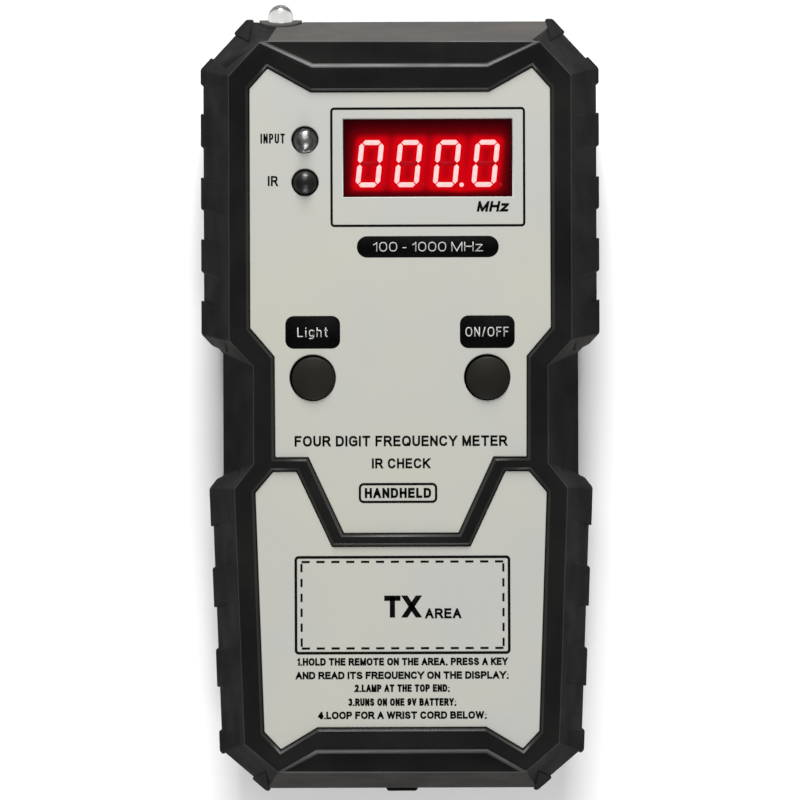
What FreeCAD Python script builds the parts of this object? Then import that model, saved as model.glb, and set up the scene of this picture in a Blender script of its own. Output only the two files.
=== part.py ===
"""Handheld frequency counter: two moulded half-shells, printed face plates, a four-digit
display, two push buttons, indicator and torch LEDs, a circuit board and a 9 V battery.

Frame: millimetres, the counter lies on its back. +Z goes out through the face, +Y towards the
torch end, +X to the right of the face. The origin is at the middle of the back's resting plane.
"""
import FreeCAD, Part
import math
import os

V = FreeCAD.Vector

# Case
CASE_T = 32.0            # back face to the crest of the face's rim
SPLIT_Z = 15.0           # parting plane of the two half-shells
WALL = 2.2
BACK_IN = 2.0            # draft of the back shell's wall
BACK_CHAMFER_Z = 2.4     # height of the slope round the back
DECK_Z = 27.8            # underside of the front shell's deck
PLATE_Z = 29.9           # seat of the face plates
PLATE_T = 1.0
RIM_IN_Z = 31.4          # inner edge of the rim's sloped facet
BEVEL_Z = 30.7           # foot of the bevel around each plate pocket
CREST_W = 0.45           # width of the rim's crest
GAP = 0.15               # clearance around plates and windows

# Right-hand halves of the outlines, listed from the torch end down
SPLIT_HALF = [(30.6, 76.2), (39.6, 66.5), (39.6, 13.6), (35.8, 9.5), (35.8, -14.9),
              (38.1, -17.9), (36.2, -70.4), (27.2, -78.1)]
HULL_HALF = [(27.2, 69.3), (33.2, 62.83), (33.2, 11.6), (28.55, 6.58), (28.55, -12.25),
             (32.3, -17.15), (30.51, -66.5), (24.1, -71.98)]
CREST_HALF = [(17.0, 64.5)] + HULL_HALF + [(16.6, -67.7)]
RIM_IN_HALF = [(17.2, 60.6), (25.9, 65.5), (31.0, 60.2), (31.0, 13.0), (25.9, 7.5),
               (25.9, -13.0), (30.0, -17.3), (28.3, -65.5), (23.7, -69.4), (16.5, -65.0)]
UPPER_HALF = [(17.33, 59.8), (25.67, 64.47), (29.2, 60.5), (29.2, 14.0), (24.5, 8.5),
              (24.4, -11.07), (17.96, -11.07), (11.14, -25.83)]
LOWER_HALF = [(13.5, -28.5), (20.3, -13.88), (24.85, -13.88), (28.3, -17.96), (26.7, -64.4),
              (23.5, -67.8), (16.4, -63.55)]

# Lower facets outside the rim at both ends, with a sloped step up to the rim's crest
END_FACET_DROP = 0.9
END_STEP_W = 0.9

# Grip pads on the side walls: (upper end, lower end) in Y at the parting plane
PAD_T = 0.55
PAD_TOP_T = -0.15
UPPER_PAD_IN_X = 34.5
LOWER_PAD_IN_X = 31.8
PAD_SLANT = 0.44
UPPER_PADS = [(57.8, 51.1), (45.0, 38.5), (32.6, 25.9), (20.2, 12.0)]
LOWER_PADS = [(-17.0, -26.2), (-34.6, -42.7), (-51.2, -59.0)]
# Bumpers round the outer corners: the right-hand block that cuts each one out, from above
BUMPERS = [[(34.5, 61.2), (43.0, 64.9), (43.0, 74.2), (34.0, 65.2)],
           [(29.5, 70.1), (37.0, 77.6), (37.0, 82.0), (29.2, 82.0)],
           [(31.5, -64.2), (43.0, -69.2), (43.0, -78.3), (41.0, -76.3), (31.0, -66.3)],
           [(26.7, -72.6), (33.0, -78.9), (33.0, -82.0), (26.4, -82.0)]]

# Circuit board
BOARD_Z = 20.8
BOARD_T = 1.6
BOARD_TOP = BOARD_Z + BOARD_T
BOARD_LIMITS = (63.0, 30.0)              # half length, half width
CAPACITORS = [(-5.0, 17.0), (6.0, 17.0)]
BOARD_POSTS = [(-22.5, 55.5), (26.0, 27.0), (-22.0, -50.0), (22.0, -50.0)]

# Display
WINDOW = (5.4, 47.05, 32.6, 14.9)        # centre x, centre y, width, height
MODULE = (5.4, 46.0, 30.2, 14.0)
MODULE_TOP = 29.6
DIGIT_PITCH = 7.52
DIGIT_W = 4.6
DIGIT_H = 9.14
DIGIT_LEAN = math.tan(math.radians(6.0))
SEGMENT_W = 0.85
SEGMENT_DEPTH = 0.5
POINT_R = 0.5

# Indicators on the face
LED_R = 2.5
LED_HOLE_R = 2.65
LED_FLANGE_R = 2.9
LED_LENGTH = 8.6
LED_BASE_Z = 23.6
INPUT_LED = (-18.45, 50.6)
IR_SENSOR = (-18.45, 42.3)

# Buttons
BUTTONS = {"light": (-17.1, 4.35), "power": (16.8, 4.35)}
BUTTON_HOLE_R = 4.5
BUTTON_R = 4.2
BUTTON_SIDE_PLAY = 0.12  # the caps sit a little to the lower right in their holes
BUTTON_TOP = 32.0
BUTTON_CROWN = 0.45
BUTTON_FLANGE_R = 5.6
BUTTON_FLANGE_Z = 26.3
BUTTON_FLANGE_T = 1.1
SWITCH_SIDE = 6.2
SWITCH_H = 3.3
STEM_R = 1.75
STEM_FOOT_Z = 25.0

# Torch at the top end
TORCH_X = -23.9
TORCH_TIP_Y = 79.6
COLLAR_R = 4.3
COLLAR_Y = (72.0, 76.55)
COLLAR_BACK = (0.41, 0.16)   # slopes of the end wall above and below the parting plane

# Battery and its bay
BATTERY = (26.5, 46.5, 17.5)
BATTERY_Y = -62.6        # end face by the bottom of the case
BATTERY_Z = 2.4
TERMINAL_PITCH = 12.95
TERMINAL_Z = BATTERY_Z + BATTERY[2] / 2
BAY_HALF_W = 14.0
BAY_Y = (-63.4, -10.4)
BAY_TOP = 20.0
DOOR_HALF_W = 16.0
DOOR_Y = -8.0
DOOR_T = 1.9
TONGUE_W = 0.9
TONGUE_Z = (0.8, 1.5)

# Case screws: centres of the bosses
SCREWS = [(31.2, 57.5), (-31.2, 57.5), (28.8, -58.0), (-28.8, -58.0)]
BOSS_R = 3.7
SCREW_HEAD_R = 2.8
SCREW_R = 1.5
SCREW_HEAD_Z = 4.2
SCREW_END_Z = 26.0

# Lanyard loop at the bottom end
LOOP_TIP_Y = -79.6
LOOP_Z = (6.0, 10.0)
LOOP_SLOT_HALF = 2.4


def mirrored(half):
    """A closed outline from its right-hand half."""
    return half + [(-x, y) for x, y in reversed(half)]


def offset(outline, d):
    """The outline moved outwards by d, with mitred corners."""
    n = len(outline)
    area = sum(outline[i][0] * outline[(i + 1) % n][1] - outline[(i + 1) % n][0] * outline[i][1]
               for i in range(n))
    side = 1.0 if area > 0 else -1.0
    lines = []
    for i in range(n):
        (x0, y0), (x1, y1) = outline[i], outline[(i + 1) % n]
        length = math.hypot(x1 - x0, y1 - y0)
        nx, ny = side * (y1 - y0) / length, -side * (x1 - x0) / length
        lines.append((nx, ny, nx * x0 + ny * y0 + d))
    moved = []
    for i in range(n):
        a, b = lines[i - 1], lines[i]
        det = a[0] * b[1] - b[0] * a[1]
        moved.append(((a[2] * b[1] - b[2] * a[1]) / det, (a[0] * b[2] - b[0] * a[2]) / det))
    return moved


def between(low, high, t):
    """The outline a share t of the way from low to high."""
    return [(a[0] + t * (b[0] - a[0]), a[1] + t * (b[1] - a[1])) for a, b in zip(low, high)]


def polygon(points):
    return Part.makePolygon([V(*p) for p in points] + [V(*points[0])])


def solid_of(faces):
    """A solid from its faces, each a list of corners. A face that isn't flat becomes triangles."""
    flat = []
    for points in faces:
        corners = [V(*p) for p in points]
        normal = (corners[1] - corners[0]).cross(corners[2] - corners[0]).normalize()
        if len(corners) == 4 and abs(normal.dot(corners[3] - corners[0])) > 1e-6:
            flat.append(Part.Face(polygon([points[0], points[1], points[2]])))
            flat.append(Part.Face(polygon([points[0], points[2], points[3]])))
        else:
            flat.append(Part.Face(polygon(points)))
    solid = Part.Solid(Part.Shell(flat))
    if solid.Volume < 0:
        solid.reverse()
    return solid


def frustum(low, z_low, high, z_high):
    """A solid between two outlines with the same number of corners."""
    n = len(low)
    faces = [[(x, y, z_low) for x, y in low], [(x, y, z_high) for x, y in high]]
    for i in range(n):
        j = (i + 1) % n
        faces.append([(*low[i], z_low), (*low[j], z_low), (*high[j], z_high), (*high[i], z_high)])
    return solid_of(faces)


def prism(outline, z0, z1):
    return Part.Face(polygon([(x, y, z0) for x, y in outline])).extrude(V(0, 0, z1 - z0))


def box(x0, x1, y0, y1, z0, z1):
    return Part.makeBox(x1 - x0, y1 - y0, z1 - z0, V(x0, y0, z0))


def post(x, y, r, z0, z1):
    return Part.makeCylinder(r, z1 - z0, V(x, y, z0))


def fused(shapes):
    return shapes[0].multiFuse(shapes[1:]).removeSplitter()


SPLIT = mirrored(SPLIT_HALF)
HULL = mirrored(HULL_HALF)


def wall_outline(z):
    """The outer outline of the case at height z."""
    if z >= SPLIT_Z:
        return between(SPLIT, HULL, (z - SPLIT_Z) / (CASE_T - SPLIT_Z))
    return offset(SPLIT, -BACK_IN * (SPLIT_Z - z) / (SPLIT_Z - BACK_CHAMFER_Z))


def pad_prisms(z0, z1):
    """Slanted blocks that cut the grip pads out of a thicker shell, on both sides."""
    out_x = 43.0
    blocks = []
    for pads, slant, in_x in ((UPPER_PADS, PAD_SLANT, UPPER_PAD_IN_X),
                              (LOWER_PADS, -PAD_SLANT, LOWER_PAD_IN_X)):
        for top, bottom in pads:
            rise_out = slant * (out_x - 40.0)
            rise_in = slant * (in_x - 40.0)
            half = [(in_x, top + rise_in), (out_x, top + rise_out),
                    (out_x, bottom + rise_out), (in_x, bottom + rise_in)]
            for side in (1, -1):
                blocks.append(prism([(side * x, y) for x, y in half], z0, z1))
    for half in BUMPERS:
        for side in (1, -1):
            blocks.append(prism([(side * x, y) for x, y in half], z0, z1))
    return blocks


def pads(thick_shell, z0, z1):
    return [thick_shell.common(block) for block in pad_prisms(z0, z1)]


def end_facet_cut(notch, tip):
    """The block that lowers an end of the face, outside the crest's line from notch to tip."""
    reach = 2.5
    far_x = notch[0] + reach * (tip[0] - notch[0])
    far_y = notch[1] + reach * (tip[1] - notch[1])
    mouth = mirrored([(far_x, far_y), notch])
    return frustum(offset(mouth, -END_STEP_W), CASE_T - END_FACET_DROP, mouth, CASE_T)


def led_along_z(x, y, base_z, length):
    """A 5 mm LED body: flange, barrel and dome."""
    barrel = Part.makeCylinder(LED_R, length - LED_R, V(x, y, base_z))
    dome = Part.makeSphere(LED_R, V(x, y, base_z + length - LED_R))
    flange = Part.makeCylinder(LED_FLANGE_R, 1.0, V(x, y, base_z))
    return fused([barrel, dome, flange])


def plate_pocket(outline_half, bevel):
    """The recess of one face plate with the bevel around its mouth."""
    foot = offset(mirrored(outline_half), GAP)
    mouth = offset(mirrored(outline_half), GAP + bevel)
    return [prism(foot, PLATE_Z, BEVEL_Z), frustum(foot, BEVEL_Z, mouth, RIM_IN_Z)]


def window_outline(rect, grow):
    x, y, w, h = rect
    return box(x - w / 2 - grow, x + w / 2 + grow, y - h / 2 - grow, y + h / 2 + grow,
               DECK_Z - 1, CASE_T)


def face_holes():
    """Holes through the deck and the upper plate for indicators and buttons."""
    holes = [post(x, y, LED_HOLE_R, DECK_Z - 1, CASE_T + 1) for x, y in (INPUT_LED, IR_SENSOR)]
    for x, y in BUTTONS.values():
        holes.append(post(x, y, BUTTON_HOLE_R, DECK_Z - 1, CASE_T + 1))
    return holes


def front_shell():
    body = frustum(SPLIT, SPLIT_Z, HULL, CASE_T)
    thick = frustum(offset(SPLIT, PAD_T), SPLIT_Z, offset(HULL, PAD_TOP_T), CASE_T)
    body = fused([body] + pads(thick, SPLIT_Z, CASE_T))
    body = body.cut(end_facet_cut(CREST_HALF[0], CREST_HALF[1]))
    body = body.cut(end_facet_cut(CREST_HALF[-1], CREST_HALF[-2]))
    crest_in = offset(mirrored(CREST_HALF), -CREST_W)
    funnel = frustum(mirrored(RIM_IN_HALF), RIM_IN_Z, crest_in, CASE_T)
    hollow = frustum(offset(SPLIT, -WALL), SPLIT_Z, offset(wall_outline(DECK_Z), -WALL), DECK_Z)
    cuts = [funnel, hollow, window_outline(MODULE, 0.25)]
    cuts += plate_pocket(UPPER_HALF, 0.55)
    cuts += plate_pocket(LOWER_HALF, 0.55)
    cuts += face_holes()
    body = body.cut(cuts)
    posts = [post(x, y, 2.5, BOARD_TOP, DECK_Z) for x, y in BOARD_POSTS]
    inside = frustum(offset(SPLIT, -1.0), SPLIT_Z, offset(HULL, -1.0), CASE_T)
    posts += [post(x, y, BOSS_R, SPLIT_Z, DECK_Z).common(inside) for x, y in SCREWS]
    body = fused([body] + posts)
    holes = [post(x, y, 1.0, BOARD_TOP, BOARD_TOP + 4.5) for x, y in BOARD_POSTS]
    holes += [post(x, y, SCREW_R, SPLIT_Z, SCREW_END_Z + 0.5) for x, y in SCREWS]
    holes.append(torch_hole())
    return body.cut(holes)


def torch_hole():
    return Part.makeCylinder(COLLAR_R, 12.0, V(TORCH_X, 70.0, SPLIT_Z), V(0, 1, 0))


def door_outline(grow):
    """The battery door's plan: it runs out over the bottom end of the case."""
    return [(-DOOR_HALF_W - grow, DOOR_Y + grow), (DOOR_HALF_W + grow, DOOR_Y + grow),
            (DOOR_HALF_W + grow, -82.0), (-DOOR_HALF_W - grow, -82.0)]


def tongues(grow):
    """Ribs along the door's edges, or with grow their grooves in the back shell."""
    ribs = []
    for side in (1, -1):
        x0 = side * (DOOR_HALF_W - 1.0)
        x1 = side * (DOOR_HALF_W + TONGUE_W + grow)
        ribs.append(box(min(x0, x1), max(x0, x1), -82.0, DOOR_Y - 6.0 + 4.0 * grow,
                        TONGUE_Z[0] - grow, TONGUE_Z[1] + grow))
    return ribs


def back_solid():
    foot = offset(SPLIT, -BACK_IN - 2.0)
    shoulder = wall_outline(BACK_CHAMFER_Z)
    return fused([frustum(shoulder, BACK_CHAMFER_Z, SPLIT, SPLIT_Z),
                  frustum(foot, 0.0, shoulder, BACK_CHAMFER_Z)])


def back_shell():
    shoulder = wall_outline(BACK_CHAMFER_Z)
    thick = frustum(offset(shoulder, PAD_T), BACK_CHAMFER_Z, offset(SPLIT, PAD_T), SPLIT_Z)
    body = fused([back_solid()] + pads(thick, BACK_CHAMFER_Z, SPLIT_Z) + [lanyard_loop()])
    floor = 4.2
    low_in = offset(wall_outline(floor), -WALL)
    body = body.cut(frustum(low_in, floor, offset(SPLIT, -WALL), SPLIT_Z))
    bay_outer = box(-BAY_HALF_W - 1.6, BAY_HALF_W + 1.6, BAY_Y[0] - 1.6, BAY_Y[1] + 1.6, 2.0, BAY_TOP)
    bosses = [post(x, y, BOSS_R, 2.0, SPLIT_Z) for x, y in SCREWS]
    body = fused([body, bay_outer] + bosses)
    cuts = [box(-BAY_HALF_W, BAY_HALF_W, BAY_Y[0], BAY_Y[1], -1.0, BAY_TOP + 1.0)]
    cuts.append(prism(door_outline(GAP), -1.0, DOOR_T + GAP))
    cuts += tongues(GAP)
    cuts += [post(x, y, SCREW_HEAD_R + 0.4, -1.0, SCREW_HEAD_Z) for x, y in SCREWS]
    cuts += [post(x, y, SCREW_R + 0.1, SCREW_HEAD_Z, SPLIT_Z) for x, y in SCREWS]
    cuts.append(torch_hole())
    cuts.append(box(-4.0, 4.0, BAY_Y[1] - 0.1, BAY_Y[1] + 1.7, 12.0, BAY_TOP + 1.0))
    return body.cut(cuts)


def lanyard_loop():
    """A small bail on the bottom end wall, with a slot for a cord."""
    root_y = SPLIT_HALF[-1][1] + 0.2
    half = [(3.65, root_y + 2.5), (3.65, root_y), (3.0, LOOP_TIP_Y)]
    slot = box(-LOOP_SLOT_HALF, LOOP_SLOT_HALF, root_y - 0.95, root_y + 0.35, LOOP_Z[0] - 1,
               LOOP_Z[1] + 1)
    return prism(mirrored(half), *LOOP_Z).cut(slot)


def battery_door():
    """A flat cover that slides off over the bottom end, with ribs for the thumb."""
    body = prism(door_outline(0.0), 0.0, DOOR_T)
    body = fused([body] + tongues(0.0)).common(back_solid())
    ribs = [box(-6.0, 6.0, y, y + 0.8, -1.0, 0.35) for y in (-14.0, -15.8, -17.6, -19.4)]
    return body.cut(ribs)


def upper_face_plate():
    plate = prism(mirrored(UPPER_HALF), PLATE_Z, PLATE_Z + PLATE_T)
    return plate.cut(face_holes() + [window_outline(WINDOW, GAP)])


def lower_face_plate():
    return prism(mirrored(LOWER_HALF), PLATE_Z, PLATE_Z + PLATE_T)


def display_window():
    x, y, w, h = WINDOW
    return box(x - w / 2, x + w / 2, y - h / 2, y + h / 2, PLATE_Z, PLATE_Z + PLATE_T - 0.1)


def segment_bars(x, y):
    """The seven bars of one digit, as plan outlines that lean to the right."""
    long_half = DIGIT_H / 4 - 0.12
    wide_half = DIGIT_W / 2 - 0.12 - SEGMENT_W / 2
    bars = []
    for level in (-1, 0, 1):
        bars.append((0.0, level * (DIGIT_H / 2 - SEGMENT_W / 2), wide_half, 0.0))
    for side in (-1, 1):
        for level in (-1, 1):
            bars.append((side * (DIGIT_W / 2 - SEGMENT_W / 2), level * DIGIT_H / 4, 0.0,
                         long_half - SEGMENT_W / 2))
    outlines = []
    for cx, cy, hx, hy in bars:
        h = SEGMENT_W / 2
        if hx:
            points = [(cx - hx, cy), (cx - hx + h, cy + h), (cx + hx - h, cy + h), (cx + hx, cy),
                      (cx + hx - h, cy - h), (cx - hx + h, cy - h)]
        else:
            points = [(cx, cy + hy + h), (cx + h, cy + hy), (cx + h, cy - hy), (cx, cy - hy - h),
                      (cx - h, cy - hy), (cx - h, cy + hy)]
        outlines.append([(x + px + py * DIGIT_LEAN, y + py) for px, py in points])
    return outlines


def display_segments():
    """Light bars and decimal points of the four digits, set flush in the module's face."""
    x, y = MODULE[0], MODULE[1]
    z0 = MODULE_TOP - SEGMENT_DEPTH
    bars = []
    for place in range(4):
        dx = x + (place - 1.5) * DIGIT_PITCH
        bars += [prism(outline, z0, MODULE_TOP) for outline in segment_bars(dx, y)]
        bars.append(post(dx + DIGIT_PITCH * 0.4, y - DIGIT_H / 2 + POINT_R, POINT_R, z0, MODULE_TOP))
    return bars


def display_module(bars):
    x, y, w, h = MODULE
    body = box(x - w / 2, x + w / 2, y - h / 2, y + h / 2, BOARD_TOP, MODULE_TOP)
    return body.cut(bars)


def display_pins():
    x, y = MODULE[0], MODULE[1]
    pins = []
    for side in (-1, 1):
        for k in range(6):
            px = x + (k - 2.5) * 2.54
            pins.append(box(px - 0.25, px + 0.25, y + side * 5.08 - 0.25, y + side * 5.08 + 0.25,
                            BOARD_Z - 1.2, BOARD_TOP))
    return pins


def button(x, y):
    """A button cap with a crowned top and a flange that keeps it under the deck."""
    flange = post(x, y, BUTTON_FLANGE_R, BUTTON_FLANGE_Z, BUTTON_FLANGE_Z + BUTTON_FLANGE_T)
    barrel = post(x, y, BUTTON_R, BUTTON_FLANGE_Z, BUTTON_TOP)
    crown_r = (BUTTON_R ** 2 + BUTTON_CROWN ** 2) / (2 * BUTTON_CROWN)
    crown = Part.makeSphere(crown_r, V(x, y, BUTTON_TOP - crown_r))
    return fused([barrel.common(crown), flange])


def switch_body(x, y):
    h = SWITCH_SIDE / 2
    body = box(x - h, x + h, y - h, y + h, BOARD_TOP, BOARD_TOP + SWITCH_H)
    return body.cut(post(x, y, STEM_R + 0.1, STEM_FOOT_Z - 0.7, CASE_T))


def switch_stem(x, y):
    return post(x, y, STEM_R, STEM_FOOT_Z, BUTTON_FLANGE_Z)


def switch_legs():
    legs = []
    for x, y in BUTTONS.values():
        for sx in (-1, 1):
            for sy in (-1, 1):
                lx, ly = x + sx * 3.4, y + sy * 2.25
                legs.append(box(lx - 0.3, lx + 0.3, ly - 0.35, ly + 0.35, BOARD_Z - 1.0, BOARD_TOP + 1))
    return legs


def board_outline():
    """The board's plan: inside the case walls, narrow enough to pass between the bosses."""
    inner = offset(wall_outline(BOARD_TOP), -WALL - 0.6)
    end_y, half_w = BOARD_LIMITS
    strip = box(-half_w, half_w, -end_y, end_y, BOARD_Z, BOARD_TOP)
    return prism(inner, BOARD_Z, BOARD_TOP).common(strip)


def circuit_board():
    cuts = [post(x, y, BOSS_R + 0.4, BOARD_Z - 1, BOARD_TOP + 1) for x, y in SCREWS]
    cuts += [post(x, y, 1.1, BOARD_Z - 1, BOARD_TOP + 1) for x, y in BOARD_POSTS]
    for legs in (display_pins(), switch_legs(), led_legs(), capacitor_legs()):
        cuts += legs
    cuts += [torch_leads(), battery_lead(-1), battery_lead(1)]
    return board_outline().cut(cuts)


def board_screws():
    screws = []
    for x, y in BOARD_POSTS:
        shank = post(x, y, 1.0, BOARD_Z - 0.2, BOARD_TOP + 4.2)
        head = post(x, y, 1.9, BOARD_Z - 1.5, BOARD_Z)
        slot = box(x - 1.3, x + 1.3, y - 0.2, y + 0.2, BOARD_Z - 1.6, BOARD_Z - 1.0)
        screws.append(fused([shank, head]).cut(slot))
    return screws


def case_screws():
    screws = []
    for x, y in SCREWS:
        shank = post(x, y, SCREW_R, SCREW_HEAD_Z - 0.2, SCREW_END_Z)
        head = post(x, y, SCREW_HEAD_R, SCREW_HEAD_Z - 2.0, SCREW_HEAD_Z)
        cross = [box(x - 1.7, x + 1.7, y - 0.35, y + 0.35, SCREW_HEAD_Z - 2.1, SCREW_HEAD_Z - 1.0),
                 box(x - 0.35, x + 0.35, y - 1.7, y + 1.7, SCREW_HEAD_Z - 2.1, SCREW_HEAD_Z - 1.0)]
        screws.append(fused([shank, head]).cut(cross))
    return screws


def led_legs():
    legs = []
    for x, y in (INPUT_LED, IR_SENSOR):
        for side in (-1.27, 1.27):
            legs.append(box(x + side - 0.25, x + side + 0.25, y - 0.25, y + 0.25, BOARD_Z - 1.2,
                            LED_BASE_Z))
    return legs


def torch_led():
    turned = led_along_z(0.0, 0.0, 0.0, LED_LENGTH)
    turned.rotate(V(0, 0, 0), V(1, 0, 0), -90)
    turned.translate(V(TORCH_X, TORCH_TIP_Y - LED_LENGTH, SPLIT_Z))
    return turned


def torch_collar():
    """The rubber ring round the torch lamp, trimmed to the slopes of the end wall."""
    y0, y1 = COLLAR_Y
    rest_r = LED_R
    ring = Part.makeCylinder(COLLAR_R, y1 - y0, V(TORCH_X, y0, SPLIT_Z), V(0, 1, 0))
    reach = COLLAR_R + 1.0
    upper, lower = COLLAR_BACK
    profile = [(y0, SPLIT_Z - reach), (y1 - lower * reach, SPLIT_Z - reach), (y1, SPLIT_Z),
               (y1 - upper * reach, SPLIT_Z + reach), (y0, SPLIT_Z + reach)]
    corners = [V(TORCH_X - reach, y, z) for y, z in profile]
    wedge = Part.Face(Part.makePolygon(corners + corners[:1])).extrude(V(2 * reach, 0, 0))
    ring = ring.common(wedge)
    return ring.cut(Part.makeCylinder(rest_r, y1 - y0 + 2, V(TORCH_X, y0 - 1, SPLIT_Z), V(0, 1, 0)))


def bent_lead(x, y0, z0, y1, z1, r, bend_r, first_along_y=True):
    """A round lead that runs along Y and then along Z, or the other way round."""
    sy = 1 if y1 > y0 else -1
    sz = 1 if z1 > z0 else -1
    q = bend_r * (1 - math.sqrt(0.5))
    if first_along_y:
        a, b = V(x, y1 - sy * bend_r, z0), V(x, y1, z0 + sz * bend_r)
        mid = V(x, y1 - sy * q, z0 + sz * q)
    else:
        a, b = V(x, y0, z1 - sz * bend_r), V(x, y0 + sy * bend_r, z1)
        mid = V(x, y0 + sy * q, z1 - sz * q)
    start, end = V(x, y0, z0), V(x, y1, z1)
    path = Part.Wire([Part.LineSegment(start, a).toShape(), Part.Arc(a, mid, b).toShape(),
                      Part.LineSegment(b, end).toShape()])
    section = Part.Wire(Part.makeCircle(r, start, a - start))
    return path.makePipeShell([section], True, False)


def torch_leads():
    base_y = TORCH_TIP_Y - LED_LENGTH
    leads = [bent_lead(TORCH_X + side, base_y, SPLIT_Z, 62.0, BOARD_TOP, 0.3, 1.5)
             for side in (-1.27, 1.27)]
    return Part.makeCompound(leads)


def battery():
    w, length, h = BATTERY
    body = box(-w / 2, w / 2, BATTERY_Y, BATTERY_Y + length, BATTERY_Z, BATTERY_Z + h)
    edges = [e for e in body.Edges if abs(e.Vertexes[0].Y - e.Vertexes[1].Y) > 1.0]
    return body.makeFillet(1.6, edges)


def battery_terminals():
    y = BATTERY_Y + BATTERY[1]
    post_pos = Part.makeCylinder(2.9, 2.0, V(-TERMINAL_PITCH / 2, y, TERMINAL_Z), V(0, 1, 0))
    ring = Part.makeCylinder(4.2, 2.0, V(TERMINAL_PITCH / 2, y, TERMINAL_Z), V(0, 1, 0))
    ring = ring.cut(Part.makeCylinder(3.1, 3.0, V(TERMINAL_PITCH / 2, y, TERMINAL_Z), V(0, 1, 0)))
    return [post_pos, ring]


def battery_snap():
    """The clip on the battery's two studs."""
    y = BATTERY_Y + BATTERY[1]
    body = box(-12.5, 12.5, y + 0.4, y + 4.4, TERMINAL_Z - 5.5, TERMINAL_Z + 5.5)
    cuts = [Part.makeCylinder(3.0, 1.8, V(-TERMINAL_PITCH / 2, y, TERMINAL_Z), V(0, 1, 0))]
    cuts.append(Part.makeCylinder(4.3, 1.8, V(TERMINAL_PITCH / 2, y, TERMINAL_Z), V(0, 1, 0)))
    pocket = box(-12.6, 12.6, y, y + 2.3, TERMINAL_Z - 4.4, TERMINAL_Z + 4.4)
    return body.cut(cuts + [pocket])


def battery_lead(side):
    """One of the clip's two leads, which go up to the board beside each other."""
    return bent_lead(side * 2.0, BATTERY_Y + BATTERY[1] + 4.4, 14.5, -6.0, BOARD_TOP, 0.8, 3.0)


def battery_pad():
    return box(-11.0, 11.0, -58.0, -22.0, BATTERY_Z + BATTERY[2] + 0.1, BOARD_Z)


def pickup_coil():
    """A flat wire loop under the lower plate's transmitter zone."""
    z0 = BOARD_TOP
    loop = box(-17.0, 17.0, -47.0, -32.0, z0, z0 + 1.4)
    return loop.cut(box(-14.8, 14.8, -44.8, -34.2, z0 - 1, z0 + 3))


def chip_with_legs(x, y, width, length, count):
    """A surface-mounted chip on the board's underside, and its legs."""
    z1 = BOARD_Z - 0.15
    body = box(x - width / 2, x + width / 2, y - length / 2, y + length / 2, z1 - 1.9, z1)
    legs = []
    for side in (-1, 1):
        for k in range(count):
            ly = y + (k - (count - 1) / 2) * 1.27
            x0, x1 = sorted((x + side * width / 2, x + side * (width / 2 + 1.3)))
            legs.append(box(x0, x1, ly - 0.2, ly + 0.2, z1 - 1.0, z1 - 0.8))
            foot0, foot1 = sorted((x + side * (width / 2 + 0.6), x + side * (width / 2 + 1.3)))
            legs.append(box(foot0, foot1, ly - 0.2, ly + 0.2, z1 - 0.8, BOARD_Z))
    return body, legs


def paired_legs(legs):
    """Each leg's two pieces as one solid."""
    return [fused(legs[i:i + 2]) for i in range(0, len(legs), 2)]


def crystal():
    slot = box(-21.5, -10.5, 21.8, 26.2, BOARD_TOP, BOARD_TOP + 3.5)
    return slot.makeFillet(2.0, [e for e in slot.Edges if abs(e.Vertexes[0].Z - e.Vertexes[1].Z) > 1])


def regulator():
    can = post(18.0, 20.0, 2.3, BOARD_TOP + 0.4, BOARD_TOP + 4.9)
    return can.cut(box(15.0, 21.0, 21.2, 24.0, BOARD_TOP, BOARD_TOP + 6))


def capacitors():
    return [post(x, y, 2.6, BOARD_TOP + 0.1, BOARD_TOP + 5.2) for x, y in CAPACITORS]


def capacitor_legs():
    return [post(x + side, y, 0.3, BOARD_Z - 1.0, BOARD_TOP + 0.1)
            for x, y in CAPACITORS for side in (-1.25, 1.25)]


def resistors():
    """Small chip resistors in a row on the board's top side."""
    return [box(-12.0 + 4.0 * k, -9.6 + 4.0 * k, -20.6, -19.4, BOARD_TOP, BOARD_TOP + 0.6)
            for k in range(7)]


def write(name, shape):
    shapes = shape if isinstance(shape, list) else [shape]
    solids = [solid for one in shapes for solid in one.Solids]
    result = solids[0] if len(solids) == 1 else Part.makeCompound(solids)
    result.exportStep(os.path.join("parts", name + ".step"))
    b = result.BoundBox
    print(f"{name:20s} solids {len(solids):3d} valid {result.isValid()} "
          f"x {b.XMin:.2f} {b.XMax:.2f} y {b.YMin:.2f} {b.YMax:.2f} z {b.ZMin:.2f} {b.ZMax:.2f}")


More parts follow.
